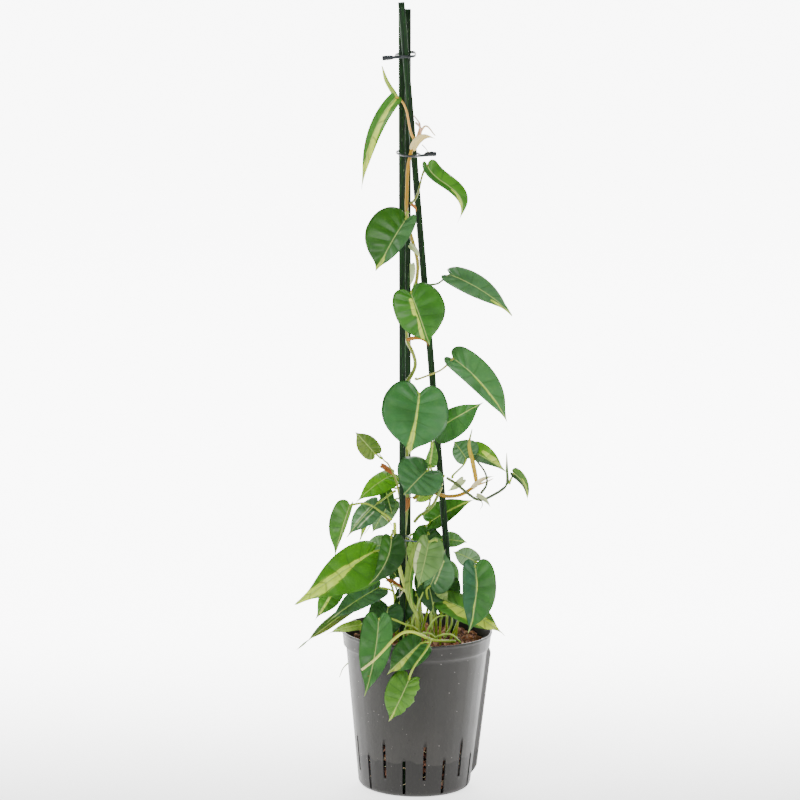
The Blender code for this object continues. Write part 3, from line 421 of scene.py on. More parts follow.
    "leaf_39": leaf((33, 26, 294), (61, 22, 291), (0.1, -0.9, 0.4), (9, 10), (3, 0, 0, 0, 0, 0.8),
        ((29, 23, 288), (14, 14, 250), (4, 6, 178)), ("#5c8c52", "#6f9a66")),
    "leaf_40": leaf((16, 28, 315), (68, 16, 345), (0.1, -0.8, 0.6), (13, 18), (5, 0, 0, 0, 0, 0.3),
        ((10, 24, 312), (-4, 10, 304), (-13, -5, 303)), ("#356f24", "#3f7f28"),
        (((0, 0, 0.5), (0.9, 0, 1.1)),)),
    "leaf_41": leaf((8, 40, 300), (36, 38, 282), (0.1, -0.9, 0.4), (12, 12), (3, 0, 0, 0, 0, 0.9),
        ((5, 36, 294), (2, 22, 250), (-4, 12, 178)), ("#1f4822", "#2a5528")),
    "leaf_42": leaf((12, -4, 359), (-6, -5, 345), (0, -0.9, 0.4), (7, 8), (2, 0, 0, 0, 0, 0.8),
        ((13, -6, 353), (11, -7, 343), (8, -7, 338)), (LIME, "#a9cc5f"), skin=1),
    "leaf_43": leaf((-7, -10, 297), (-14, -20, 277), (0, -1, 0.1), (6, 6), (2, 0, 0, 0, 0, 0.6),
        ((-9, -9, 301), (-12, -9, 304)), (LIME, "#9cc456"), skin=1),
    "leaf_44": leaf((-29, -30, 261), (-41, -32, 290), (-0.1, -1, 0.1), (7, 8), (2, 0, 0, 0, 0, 0.3),
        ((-27, -26, 252), (-20, -20, 215), (-18, -17, 178)), (DARK, "#2c5a2c"), (((0.75, 0, 2), (1, 0, 2)),),
        cream="#c4d49a"),
}


# Small leaves low among the stems and behind them, added to fill the dense middle; their mostly dark greens
# are painted shade
INNER_LEAVES = {
    "inner_a": leaf((6, -34, 262), (16, -44, 214), (0.1, -1, 0.2), (17, 17), (4, 1, 0.1, 0, 2, 0.6),
        ((2, -28, 250), (0, -26, 186)), (DARK, "#2a5528")),
    "inner_b": leaf((34, -22, 252), (25, -32, 206), (-0.1, -1, 0.2), (15, 16), (4, 1, 0.1, 0, 2, 0.6),
        ((36, -18, 236), (34, -16, 186)), ("#2a5c24", DARK)),
    "inner_c": leaf((-16, -30, 242), (-22, -38, 202), (-0.1, -1, 0.3), (14, 13), (4, 1, 0.1, 0, 2, 0.6),
        ((-14, -24, 226), (-12, -22, 186)), (DARK, "#24502a")),
    "inner_d": leaf((12, 10, 306), (-4, 2, 262), (0, -1, 0.2), (17, 16), (4, 1, 0.1, 0, 2, 0.6),
        ((12, 12, 270), (10, 10, 186)), (DEEP, DARK)),
    "inner_e": leaf((-20, 30, 288), (-44, 52, 238), (0, 1, 0.3), (19, 18), (4, 1, 0.1, 0, 2, 0.7),
        ((-16, 24, 250), (-10, 16, 186)), (DEEP, FRESH)),
    "inner_f": leaf((30, 28, 262), (50, 50, 214), (0.1, 1, 0.3), (18, 18), (4, 1, 0.1, 0, 2, 0.7),
        ((26, 22, 240), (18, 14, 186)), (DEEP, GREY)),
}


def outline_at(share, roundness):
    """The half outline at each share of its way, smooth through a mix of the round and the long one."""
    corners = roundness * np.array(ROUND_OUTLINE) + (1 - roundness) * np.array(LONG_OUTLINE)
    path = smooth_path(corners, 16)
    place = np.asarray(share) * (len(path) - 1)
    known = np.arange(len(path))
    return np.stack([np.interp(place, known, path[:, 0]), np.interp(place, known, path[:, 1])], -1)


def leaf_sheet(row, rows, columns, phase):
    """The blade's middle surface on a grid: rows from petiole to tip, columns from left to right margin.

    Each row is a line from a point on the midrib, at share to the power 1.7, to a point on the outline,
    so rows fan round the basal lobes as the side veins do. The midrib is bent by an arch, a sideways
    bow, and a curl of its last third. The blade stands square to it: it rises beside it by fold times
    the distance plus cup times its square, dips along the midrib and the side veins, swells between
    them, and waves at its margin. Returns the points, their outward directions, the flat places in
    millimetres, every row's share of the outline and every column's place from -1 to 1.
    """
    arch, bow, fold, cup, curl, roundness = row["shape"]
    joint = np.array(row["joint"], float)
    tip = np.array(row["tip"], float)
    length = np.linalg.norm(tip - joint)
    axis = (tip - joint) / length
    normal = np.array(row["facing"], float)
    normal = unit(normal - axis * (normal @ axis))
    across = np.cross(normal, axis)
    share = np.linspace(0, 1, rows)
    edge = outline_at(share, roundness)
    lobes = row["lobes"] * np.clip(sum(row["widths"]) / (NARROW_SHARE * length), 0.2, 1)
    edge[:, 0] = np.where(edge[:, 0] < 0, edge[:, 0] * lobes, edge[:, 0])
    rib = share**1.7
    half = np.linspace(0, 1, columns) ** 1.25
    out = np.concatenate([-half[:0:-1], half])
    part = np.abs(out)[None, :]
    along = rib[:, None] * (1 - part) + edge[:, :1] * part
    beside = edge[:, 1:] * part * np.sign(out)[None, :]
    aside = beside * np.where(out < 0, row["widths"][0], row["widths"][1])[None, :]
    if row["bitten"]:
        start, end = row["bitten"]
        bite = np.clip(12 * (share - start), 0, 1) * np.clip(12 * (end - share), 0, 1)
        bite = bite * (0.3 + 0.05 * np.sin(41 * share) + 0.04 * np.sin(97 * share + 1))
        aside = np.where(out > 0, aside * (1 - bite[:, None] * part**2), aside)
    on_rib = np.clip(along, 0, 1)[..., None]
    tail = np.clip((on_rib - 0.7) / 0.3, 0, 1)
    late = row["late"]
    hump = 4 * on_rib * (1 - on_rib) * (1 + late * (2 * on_rib - 1))
    slope = 4 * (1 - 2 * on_rib) * (1 + late * (2 * on_rib - 1)) + 8 * late * on_rib * (1 - on_rib)
    lean = across * bow + normal * arch
    place = joint + axis * length * on_rib + lean * hump + normal * curl * tail**2
    ahead = unit(axis * length + lean * slope + normal * curl * 2 * tail / 0.3)
    sideways = unit(across - ahead * (ahead @ across)[..., None])
    outward = np.cross(ahead, sideways)
    angle = np.radians(row["twist"]) * on_rib
    sideways, outward = (sideways * np.cos(angle) + outward * np.sin(angle),
                         outward * np.cos(angle) - sideways * np.sin(angle))
    side_vein = np.cos(2 * math.pi * VEINS * share)[:, None]
    body = np.clip(sum(row["widths"]) / 40, 0.2, 1.2)
    relief = body * (-0.7 * np.exp(-(aside / 1.6) ** 2) - 0.7 * side_vein * 4 * part * (1 - part))
    margin = row["wave"] * part**3 * np.sin(2 * math.pi * 2.3 * share[:, None] + phase + 1.7 * np.sign(out))
    rise = fold * np.abs(aside) + cup * np.abs(beside * aside) + relief + margin
    points = (place + ahead * ((along - on_rib[..., 0]) * length)[..., None]
              + sideways * aside[..., None] + outward * rise[..., None])
    return points, outward, np.stack([along * length, aside], -1), share, out


def streak_depth(flat, streaks, length):
    """How deep each place lies in the nearest streak: above 0 inside, below 0 outside.

    A streak is a chain of segments whose half width changes evenly; the depth is the half width at the
    nearest point of a segment less the distance to it, over 0.5 mm plus 0.6 of that half width.
    """
    depth = np.full(flat.shape[:-1], -6.0)
    for streak in streaks:
        spots = np.array(streak, float) * (length, 1, 1)
        for start, end in zip(spots, spots[1:]):
            step = end[:2] - start[:2]
            share = np.clip(((flat - start[:2]) @ step) / (step @ step), 0, 1)
            away = np.linalg.norm(flat - start[:2] - share[..., None] * step, axis=-1)
            half = start[2] + share * (end[2] - start[2])
            depth = np.maximum(depth, (half - away) / (0.5 + 0.6 * half))
    return depth


def pillow(sheet, outward, thickness, **values):
    """A closed skin round a grid sheet: both faces half the thickness off it, meeting at the margin.

    The thickness eases off towards the margin, and the first and last rows are single points.
    """
    rows, across = sheet.shape[:2]
    part = np.abs(np.linspace(-1, 1, across))[None, 1:-1, None]
    lift = outward[1:-1, 1:-1] * thickness / 2 * np.sqrt(1 - part**4)
    upper = np.arange(rows * across).reshape(rows, across)
    upper[0, :] = 0
    upper[-1, :] = (rows - 1) * across
    lower = upper.copy()
    lower[1:-1, 1:-1] = rows * across + np.arange((rows - 2) * (across - 2)).reshape(rows - 2, -1)
    front = sheet.copy()
    front[1:-1, 1:-1] += lift
    points = np.vstack([front.reshape(-1, 3), (sheet[1:-1, 1:-1] - lift).reshape(-1, 3)])
    quads = []
    triangles = []
    for index, order in ((upper, 1), (lower, -1)):
        quads.append(np.stack([index[1:-2, :-1], index[2:-1, :-1], index[2:-1, 1:], index[1:-2, 1:]],
                              -1).reshape(-1, 4)[:, ::order])
        triangles.append(np.stack([index[0, :-1], index[1, :-1], index[1, 1:]], -1)[:, ::order])
        triangles.append(np.stack([index[-2, :-1], index[-1, :-1], index[-2, 1:]], -1)[:, ::order])
    both = {key: np.vstack([np.asarray(value).reshape(rows * across, -1),
                            np.asarray(value)[1:-1, 1:-1].reshape((rows - 2) * (across - 2), -1)])
            for key, value in values.items()}
    both["under"] = np.repeat([0.0, 1.0], (rows * across, (rows - 2) * (across - 2)))[:, None]
    used = np.unique(np.concatenate([part.ravel() for part in quads + triangles]))
    renumber = np.zeros(len(points), int)
    renumber[used] = np.arange(len(used))
    return Shell(points[used] * MM, renumber[np.vstack(quads)], renumber[np.vstack(triangles)],
                 **{key: value[used] for key, value in both.items()})


def blade_shell(row, number):
    """The closed blade with its colours, streak depth and way along and across as values.

    The number shifts the flat place that the material's noise reads, so no two blades share a pattern.
    """
    sheet, outward, flat, share, out = leaf_sheet(row, LEAF_ROWS, LEAF_COLUMNS, 1.3 * number)
    length = np.linalg.norm(np.array(row["tip"], float) - np.array(row["joint"], float))
    left, right = tones(*row["ground"])
    blend = np.clip(0.5 + flat[..., 1] / 6, 0, 1)[..., None]
    ground = left + (right - left) * blend
    pale = np.broadcast_to(tones(row["cream"]), ground.shape)
    way = np.stack(np.broadcast_arrays(share[:, None], 0.5 + 0.5 * out[None, :]), -1)
    return pillow(sheet, outward, LEAF_THICKNESS, ground=ground, pale=pale, way=way,
                  streak=streak_depth(flat, row["streaks"], length)[..., None],
                  flat=np.dstack([flat[..., 0] + 137.0 * number, flat[..., 1], np.abs(flat[..., 1])]))


# ------------------------------------------------------------------ stems, roots and young growth

# A stem's row: its runs (radii, points) and the colours along each
VINES = {
    "vine_main": (((2.5, 2.3, 2.1, 2.1, 2), ((-9, -19, 172), (-14, -15, 229), (-18, -11, 302),
        (-17, -9, 323), (-15, -8, 361), (-17, -7, 422), (-19, -7, 470), (-19, -8, 489), (-13, -6, 498),
        (-8, -5, 511), (-11, -5, 525), (-18, -6, 540), (-19, -8, 556), (-16, -9, 583), (-9, -9, 610),
        (-8, -10, 634), (-15, -15, 661), (-20, -19, 676), (-23, -22, 697), (-23, -21, 718), (-22, -19, 746),
        (-19, -20, 764), (-14, -20, 778)), ("#7d8f3e", "#7c8a38", "#8a9a3a", "#7f8f35", "#93a03c", "#a39a3c",
        "#8f7a14", "#a87c02", "#b08404")), ((1.8, 0.6), ((-14, -20, 776), (-3, -22, 796), (9, -22, 785)),
        ("#e0b070", "#e6d2a0")), ((1.8, 0.7), ((-14, -20, 776), (-9, -21, 796), (-16, -20, 808)),
        ("#d8a870", "#e2b9a0")),),
    "vine_front": (((2.5, 2.3, 2), ((1, -32, 174), (-6, -38, 221), (-13, -43, 234), (-17, -45, 245),
        (-23, -47, 263), (-27, -48, 278), (-30, -48, 293), (-32, -47, 309), (-33, -44, 329)),
        ("#b4cc5a", "#cbdf58", "#c8da50", "#c2d84e")), ((1.6, 1.2),
        ((-16, -45, 244), (-26, -48, 252), (-36, -47, 256)), ("#dce98a", "#c4d27a")),),
    "vine_orange": (((2.2, 2.2), ((-8, -12, 352), (5, -19, 363), (20, -15, 358), (34, -11, 354),
        (50, -12, 357), (66, -14, 368)), ("#74801c", "#9c7006", "#a67a08", "#ad840a")),
        ((1.5, 0.5), ((66, -14, 368), (78, -14, 372), (86, -14, 376)), ("#d8b060", "#e4d29a")),),
    "vine_dark": (((1.8, 1.7), ((30, -24, 379), (41, -24, 372), (48, -24, 366), (58, -23, 358),
        (66, -23, 353), (76, -22, 353), (92, -24, 362), (99, -26, 368)), ("#4c5a2a", "#3c4a26", "#34452a")),),
    "vine_green": (((2, 1.8), ((-6, -6, 322), (0, -8, 330), (9, -12, 337), (16, -17, 347), (24, -21, 367)),
        ("#7f8f3a", "#6f8a34", "#8a9a44")),),
    "vine_upper_left": (((1.7, 1.1, 0.6), ((-20, -10, 330), (-28, -9, 370), (-38, -12, 392), (-44, -13, 398),
        (-51, -16, 408)), ("#8a9a3c", "#a3a648", "#b0b060")),),
    "vine_trailing": (((1.9, 1.8, 1.5), ((40, -55, 188), (26, -66, 191), (10, -80, 196), (-5, -92, 205),
        (-16, -102, 211), (-27, -110, 212), (-38, -116, 206), (-50, -120, 194), (-62, -122, 182),
        (-76, -123, 171)), ("#86a83a", "#a9c23a", "#b9cc3c", "#c2d044", "#c6d250", "#dcd890")),),
}

# Furled young leaves: points on the way, radii, colours
SPEARS = {
    "spear_top": (((-34, -24, 826), (-41, -23, 836), (-50, -24, 851), (-55, -26, 866)), (1.6, 3, 2.3, 0.5),
        ("#a8c040", "#8aae3a", "#b8c850")),
    "spear_orange": (((66, -14, 366), (65, -17, 378), (61, -19, 398), (56, -20, 418), (59, -21, 437)),
        (1.2, 2.6, 2.8, 1.9, 0.5), ("#ad7c02", "#b58c04", "#bfa820", "#6f9e2c")),
    "spear_dark": (((99, -26, 368), (102, -26, 376), (101, -26, 391), (100, -26, 409)), (1.2, 1.9, 1.6, 0.4),
        ("#3f5a2c", "#35502a", "#5a7a3c", "#c9d39a")),
}

# Papery sheaths left at the joints: joint, tip, facing, half widths, fold, bow, colours left and right
SHEATHS = {
    "sheath_upper": ((-18, -24, 704), (-12, -27, 695), (0.1, -1, 0.2), (2, 2), 0.5, 1.5, "#b5702e",
        "#c98a4a"),
    "sheath_cream": ((-17, -24, 770), (10, -26, 781), (0.2, -1, 0.1), (5, 4.5), 0.6, 9, "#efdc90", "#f2e2a8"),
    "sheath_pale": ((-16, -24, 634), (-19, -28, 606), (0.1, -1, 0.1), (3.5, 3.5), 0.5, 1.5, "#c3d79a",
        "#d4e3ae"),
    "sheath_long": ((-18, -18, 655), (-6, -24, 640), (-0.2, -1, 0.1), (3, 4), 0.4, 1.5, "#cfdca0", "#dfe8bb"),
    "sheath_dried": ((-20, -26, 546), (4, -42, 538), (0.1, -0.7, 0.7), (3.5, 3), -0.5, 8, "#c98a3a",
        "#b5682a"),
    "sheath_brown_a": ((-42, -52, 262), (-22, -54, 250), (0, -0.8, 0.6), (2.5, 2.5), 0.5, 1.5, "#b5682a",
        "#8f5a2a"),
    "sheath_orange_brown": ((-48, -24, 394), (-34, -22, 380), (0, -0.9, 0.4), (3.5, 3), 0.5, 1.5, "#b5702e",
        "#8f5524"),
    "sheath_brown_b": ((-16, -14, 352), (-20, -18, 334), (0.2, -1, 0.1), (3, 3), 0.5, 1.5, "#a5652c",
        "#c98a4a"),
    "sheath_gold": ((62, -18, 366), (88, -20, 380), (0.1, -0.8, 0.5), (3, 3), 0.5, 3, "#e6d9a4", "#efe4ba"),
    "sheath_green": ((50, -20, 376), (30, -22, 362), (0, -0.9, 0.3), (5, 4), 0.3, 1.5, "#d4dfae", "#c8d89a"),
    "sheath_low": ((66, -26, 358), (82, -30, 344), (0.2, -0.9, 0.2), (3, 3), 0.5, 2, "#cdd6a6", "#bcca90"),
}

SHOOT = ("#7fa040", "#9cbc4c", "#aac858")

# Aerial roots, tendrils and shoots: points on the way, radii, colours
ROOTS = {
    "root_grey_top": (((-6, -20, 774), (-2, -23, 770), (1, -24, 766), (6, -24, 767)), (0.6, 0.3),
        ("#9a9088", "#8a827a")),
    "loop_pink": (((-14, -20, 800), (-8, -22, 793), (-9, -22, 784), (-13, -20, 778)), (1.4, 1.2),
        ("#e6bfa8", "#e0a890")),
    "root_front": (((-23, -50, 248), (-26, -53, 243), (-29, -52, 241)), (0.9, 0.5), ("#d8cfb8", "#e6e0cc")),
    "root_curl_middle": (((-16, -14, 352), (-8, -18, 354), (-3, -18, 349)), (0.8, 0.4),
        ("#8f6a3c", "#a07a4a")),
    "root_brown_a": (((-57, -30, 330), (-62, -34, 322), (-68, -36, 314)), (0.8, 0.3), ("#5a3c24", "#4a3020")),
    "root_brown_b": (((-44, -40, 340), (-40, -44, 332), (-36, -46, 326)), (0.8, 0.3), ("#5a3c24", "#4a3020")),
    "tendril_left": (((-51, -16, 408), (-54, -17, 412), (-59, -18, 412)), (0.8, 0.3), ("#b5b060", "#c4be78")),
    "tendril_low_a": (((-88, -70, 166), (-94, -72, 160), (-98, -74, 150)), (0.9, 0.4),
        ("#cdd7a0", "#d8dfb0")),
    "sprout_a": (((-22, -62, 190), (-21, -64, 204), (-17, -66, 214)), (1.3, 1, 0.4), ("#7fae4a", "#9cc45c")),
    "sprout_b": (((-15, -62, 190), (-17, -64, 198), (-20, -66, 206)), (1.2, 1, 0.4), ("#86b04e", "#a6c968")),
    "shoot_a": (((-8, -50, 186), (-12, -54, 205), (-6, -52, 228), (2, -46, 246)), (1.4, 1.1, 0.8), SHOOT),
    "shoot_b": (((4, -48, 186), (9, -52, 204), (18, -50, 216), (30, -46, 218)), (1.4, 1.1, 0.8), SHOOT),
    "shoot_c": (((18, -40, 186), (12, -44, 210), (16, -42, 236), (24, -36, 258)), (1.5, 1.2, 0.8), SHOOT),
    "shoot_d": (((-2, -30, 186), (-8, -34, 214), (-4, -32, 246), (4, -28, 272)), (1.5, 1.2, 0.8), SHOOT),
    "shoot_e": (((30, -30, 186), (38, -34, 206), (34, -32, 232), (26, -28, 252)), (1.5, 1.2, 0.8), SHOOT),
    "shoot_f": (((-24, -40, 186), (-30, -44, 206), (-26, -42, 230), (-18, -36, 250)), (1.4, 1.1, 0.8), SHOOT),
    "shoot_g": (((10, -58, 187), (20, -64, 197), (34, -66, 199), (46, -60, 188)), (1.5, 1.3, 1.2), SHOOT),
    "shoot_h": (((-16, -50, 187), (-6, -60, 197), (8, -64, 200), (22, -60, 188)), (1.5, 1.3, 1.2), SHOOT),
    "root_dark_right": (((70, -22, 353), (73, -24, 347), (70, -26, 341)), (0.7, 0.3), ("#7a6a4a", "#8f8060")),
}

# Ties: band points, band radius and its height over its thickness, then the same for the end piece
TIES = {
    "tie_top": (((-34, -17, 876), (-17, -17, 877), (-13, 10, 878), (-17, 20, 878), (-27, 20, 877),
        (-37, 2, 876)), 0.75, 2.2, ((-34, -17.5, 876), (-38, -17, 875.6), (-41, -16.5, 875.2),
        (-44, -16, 875), (-50, -15.5, 874.5), (-53.5, -15.5, 874)), (0.8, 0.8, 0.9, 1.3, 1.4, 1.3), 2.1),
    "tie_middle": (((-32, -16, 762), (-22, -24.5, 761), (-10, -15, 760), (-6, -4, 760), (-14, 24, 761),
        (-25, 24, 762), (-34, -2, 763)), 0.75, 1.9, ((-9, -12, 759.8), (-5, -10, 760), (-2, -10, 760.5),
        (0, -10, 761.3), (3, -10.5, 762), (11.5, -10.5, 762)), (0.9, 0.9, 1, 1.5, 1.6, 1.5), 1.8),
    "tie_low": (((-36.5, -46, 311), (-32.5, -50.8, 310), (-22, -45, 308), (-14, -38, 306), (-14, -28, 308),
        (-24, -24, 311), (-33.5, -32, 312)), 0.9, 1, ((-14, -37, 306), (-9, -35, 304.5), (-5, -34, 304),
        (-2, -33, 301)), (0.8, 0.8, 0.8, 0.7), 1),
}


def sheath_shell(row):
    """A dried leaf sheath: a narrow folded blade without veins worth showing."""
    joint, tip, facing, widths, fold, bow, left, right = row
    made = leaf(joint, tip, facing, widths, (2, bow, fold, 0, 0, 0.3), (), (left, right), wave=0.3)
    sheet, outward, flat, share, out = leaf_sheet(made, 21, 5, 0.7)
    blend = np.clip(0.5 + flat[..., 1] / 4, 0, 1)[..., None]
    ends = tones(left, right)
    return pillow(sheet, outward, SHEATH_THICKNESS, tint=ends[0] + (ends[1] - ends[0]) * blend)


# ------------------------------------------------------------------ pot, substrate and stakes

# The pot's sizes, as the moulding has them
POT_HEIGHT = 190.0
RIM_RADIUS = 90.0
BASE_RADIUS = 66.5
WALL = 1.8
COLLAR_HEIGHT = 18.0
SLOT_STEP = 40  # degrees between two slots of one row
LOWER_SLOT = (3.5, 45.5)  # heights of a lower slot's ends
UPPER_SLOT = (22.0, 64.0)
STAKE_SLOT = -16  # the slot with the front cane's foot behind it
CHANNEL_ANGLE = 94
CHANNEL_RADIUS = 7.6
CHANNEL_BASE = 16.0
SOIL_LEVEL = 174.0
STAKE_WIDTH = 7.4
BED_RADIUS = 78.5
BED_CHIPS = (3.2, 6.6)  # radii of the chips on the bed
SLOT_CHIPS = (2.6, 5.0)
# Canes: top, foot, and the phase of the grooves
STAKES = {
    "stake_front": ((-30, 4, 930), (-20, -54, 8), 0.3),
    "stake_rear": ((-22, 11, 929), (-4, 46, 8), 1.9),
    "stake_right": ((-33, -14, 939), (60.5, 18, 45), 4.1),
}

SHOULDER = POT_HEIGHT - COLLAR_HEIGHT
SHOULDER_STEP = 5.5  # how much narrower the body is there than the rim


def wall_radius(height):
    """Outer radius of the tapered body at a height, in millimetres."""
    return BASE_RADIUS + (RIM_RADIUS - SHOULDER_STEP - BASE_RADIUS) * height / SHOULDER


def pot_profile():
    """Outer and inner (radius, height) rows from foot to rim, each row of one facing the other's."""
    turn = np.radians(np.linspace(0, 90, 7))
    foot = wall_radius(8.0)
    outer = np.stack([foot - 8 + 8 * np.sin(turn), 8 - 8 * np.cos(turn)], -1)
    heights = np.array([12, 17, 22, 28, 34, 40, 45.5, 50, 56, 61, 64, 72, 84, 100, 118, 136, 150, 160, 166])
    outer = np.vstack([outer, np.stack([wall_radius(heights), heights], -1)])
    inner = outer.copy()
    inner[:, 0] -= WALL
    inner[:, 1] = np.maximum(outer[:, 1], 2.0 + 0.02 * np.arange(len(outer)) * (outer[:, 1] < 2))
    # the stepped collar: how far inside the rim's radius and how high, first outside and then inside
    collar = np.array([
        (3.4, 171, 5.2, 171.4), (2.6, 172.4, 4.4, 172.8), (2.2, 176, 4, 176), (1.3, 184.5, 3.2, 184.5),
        (1, 186.3, 3, 186.3), (0.2, 187, 2.8, 187), (0, 187.8, 2.6, 187.8), (0, 189, 2.4, 189),
        (0.5, 189.8, 1.9, 189.8)])
    top = wall_radius(169)
    outer = np.vstack([outer, [(top, 169)], np.stack([RIM_RADIUS - collar[:, 0], collar[:, 1]], -1)])
    inner = np.vstack([inner, [(top - WALL, 169)], np.stack([RIM_RADIUS - collar[:, 2], collar[:, 3]], -1)])
    return outer, inner


def slot_angles():
    """Angles in degrees round the pot, closer together at every slot's two sides."""
    near = np.array([-1.75, -1.55, -0.8, 0, 0.8, 1.55, 1.75, 3, 5, 7, 9])
    starts = np.arange(-76, 284, SLOT_STEP / 2)
    return np.concatenate([start + near for start in starts]), starts, len(near)


def pot_shell():
    """The pot's wall as one closed surface over angle and height, with its slots open.

    Outer and inner surface are the profile's radius turned about Z, plus the gauge channel's bulge: the
    height of a circle's arc over the wall, fading out under its rounded foot. Cells inside a slot are
    left out and the two surfaces are joined round every opening, at the rim and at the foot's middle.
    """
    outer, inner = pot_profile()
    angles, starts, each = slot_angles()
    turn = np.radians(angles)
    surfaces = []
    for profile, radius in ((outer, CHANNEL_RADIUS), (inner, CHANNEL_RADIUS - 2.0)):
        wall = profile[:, 0][:, None]
        height = profile[:, 1][:, None]
        away = np.abs((angles[None, :] - CHANNEL_ANGLE + 180) % 360 - 180)
        beside = np.radians(away) * wall
        reach = np.clip(radius**2 - beside**2 - np.clip(CHANNEL_BASE + 6 - height, 0, None) ** 2, 0, None)
        bulge = np.clip(np.sqrt(reach) - 0.5, 0, None) * np.clip((171 - height) / 8, 0, 1)
        rim = 0.8 * np.exp(-(beside / 6) ** 2) * (height > 172)
        full = wall + np.maximum(bulge, rim)
        surfaces.append(around(full, turn, height))
    rows, columns = surfaces[0].shape[:2]
    outside = ring_grid(rows, columns)
    inside = outside + rows * columns
    heights = outer[:, 1]
    middle = 0.5 * (heights[1:] + heights[:-1])
    place = np.arange(columns) % each
    number = np.arange(columns) // each
    in_slot = (place >= 1) & (place < 5)
    low, high = (np.where(number % 2, lower, upper) for lower, upper in zip(LOWER_SLOT, UPPER_SLOT))
    away = np.abs((starts[number] - CHANNEL_ANGLE + 180) % 360 - 180)
    open_cell = in_slot & (away > 15) & (middle[:, None] > low) & (middle[:, None] < high)
    kept = ~open_cell
    out_quads = grid_quads(outside)[kept]
    in_quads = grid_quads(inside)[kept][:, [0, 3, 2, 1]]
    walls = opening_walls(open_cell, outside, inside)
    rim = np.stack([outside[-1, :-1], outside[-1, 1:], inside[-1, 1:], inside[-1, :-1]], -1)
    points = np.vstack([surfaces[0].reshape(-1, 3), surfaces[1].reshape(-1, 3), [[0, 0, 0.0], [0, 0, 2.0]]])
    first = 2 * rows * columns
    base = np.stack([outside[0, 1:], outside[0, :-1], np.full(columns, first)], -1)
    floor = np.stack([inside[0, :-1], inside[0, 1:], np.full(columns, first + 1)], -1)
    return Shell(points * MM, np.vstack([out_quads, in_quads, *walls, rim]), np.vstack([base, floor]))


def opening_walls(open_cell, outside, inside):
    """Quads between the outer and inner surface along every edge between an open and a kept cell."""
    walls = []
    left = np.roll(open_cell, 1, axis=1)
    edges = ((open_cell & ~left, (0, 0), (1, 0)), (~open_cell & left, (1, 0), (0, 0)))
    for mask, start, end in edges:
        row, column = np.nonzero(mask)
        a = outside[row + start[0], column]
        b = outside[row + end[0], column]
        c = inside[row + end[0], column]
        d = inside[row + start[0], column]
        walls.append(np.stack([a, b, c, d], -1))
    below = np.vstack([np.zeros_like(open_cell[:1]), open_cell[:-1]])
    for mask, order in ((open_cell & ~below, 1), (~open_cell & below, -1)):
        row, column = np.nonzero(mask)
        quad = np.stack([outside[row, column + 1], outside[row, column], inside[row, column],
                         inside[row, column + 1]], -1)
        walls.append(quad[:, ::order])
    return walls


def chip_shell(rng, places, low, high):
    """Broken clay chips at the places: twenty-faced lumps between the two radii, in millimetres.

    A chip's corners are an icosahedron's, each moved by up to a quarter of its radius, scaled unevenly
    and multiplied by a random turn.
    """
    count = len(places)
    golden = (1 + 5**0.5) / 2
    corners = np.array([(-1, golden, 0), (1, golden, 0), (-1, -golden, 0), (1, -golden, 0),
                        (0, -1, golden), (0, 1, golden), (0, -1, -golden), (0, 1, -golden),
                        (golden, 0, -1), (golden, 0, 1), (-golden, 0, -1), (-golden, 0, 1)]) / 1.9
    faces = np.array([(0, 11, 5), (0, 5, 1), (0, 1, 7), (0, 7, 10), (0, 10, 11), (1, 5, 9), (5, 11, 4),
                      (11, 10, 2), (10, 7, 6), (7, 1, 8), (3, 9, 4), (3, 4, 2), (3, 2, 6), (3, 6, 8),
                      (3, 8, 9), (4, 9, 5), (2, 4, 11), (6, 2, 10), (8, 6, 7), (9, 8, 1)])
    size = rng.uniform(low, high, (count, 1, 1))
    size = size * rng.uniform((0.75, 0.6, 0.45), (1.3, 1.0, 0.8), (count, 1, 3))
    spin, _ = np.linalg.qr(rng.normal(size=(count, 3, 3)))
    spin *= np.sign(np.linalg.det(spin))[:, None, None]
    lumps = (corners + rng.uniform(-0.24, 0.24, (count, 12, 3))) * size
    lumps = np.einsum("nij,nkj->nki", spin, lumps) + places[:, None, :]
    triangles = faces[None] + 12 * np.arange(count)[:, None, None]
    palette = tones("#9a5f43", "#a86c4a", "#70402e", "#b9846a", "#7d4e3a", "#8f5a40", "#553026", "#c99a82")
    tint = palette[rng.integers(0, len(palette), count)] * rng.uniform(0.6, 1.1, (count, 1))
    return Shell(lumps.reshape(-1, 3) * MM, np.empty((0, 4)), triangles, tint=np.repeat(tint, 12, 0))


def bed_places(rng, count, radius, level):
    """Places side by side on a sunflower spiral over the bed, each a little off."""
    number = np.arange(count)
    turn = number * math.pi * (3 - 5**0.5)
    reach = radius * np.sqrt((number + 0.5) / count)
    places = np.stack([reach * np.cos(turn), reach * np.sin(turn), np.full(count, level)], -1)
    return places + rng.normal(0, (1.6, 1.6, 1.3), (count, 3))


def slot_places(rng):
    """Places just inside every drain slot, in a strip 14 mm wide, but not where a cane stands behind it."""
    _, starts, _ = slot_angles()
    places = []
    for number, start in enumerate(starts):
        low = (LOWER_SLOT if number % 2 else UPPER_SLOT)[0]
        if abs(start - STAKE_SLOT) < 2:
            continue
        height = rng.uniform(max(low - 2, 9.0), low + 44, 26)
        turn = np.radians(start) + rng.uniform(-7, 7, 26) / 68
        reach = wall_radius(height) - WALL - 4.4 - rng.uniform(0, 5, 26)
        places.append(around(reach, turn, height))
    return np.vstack(places)


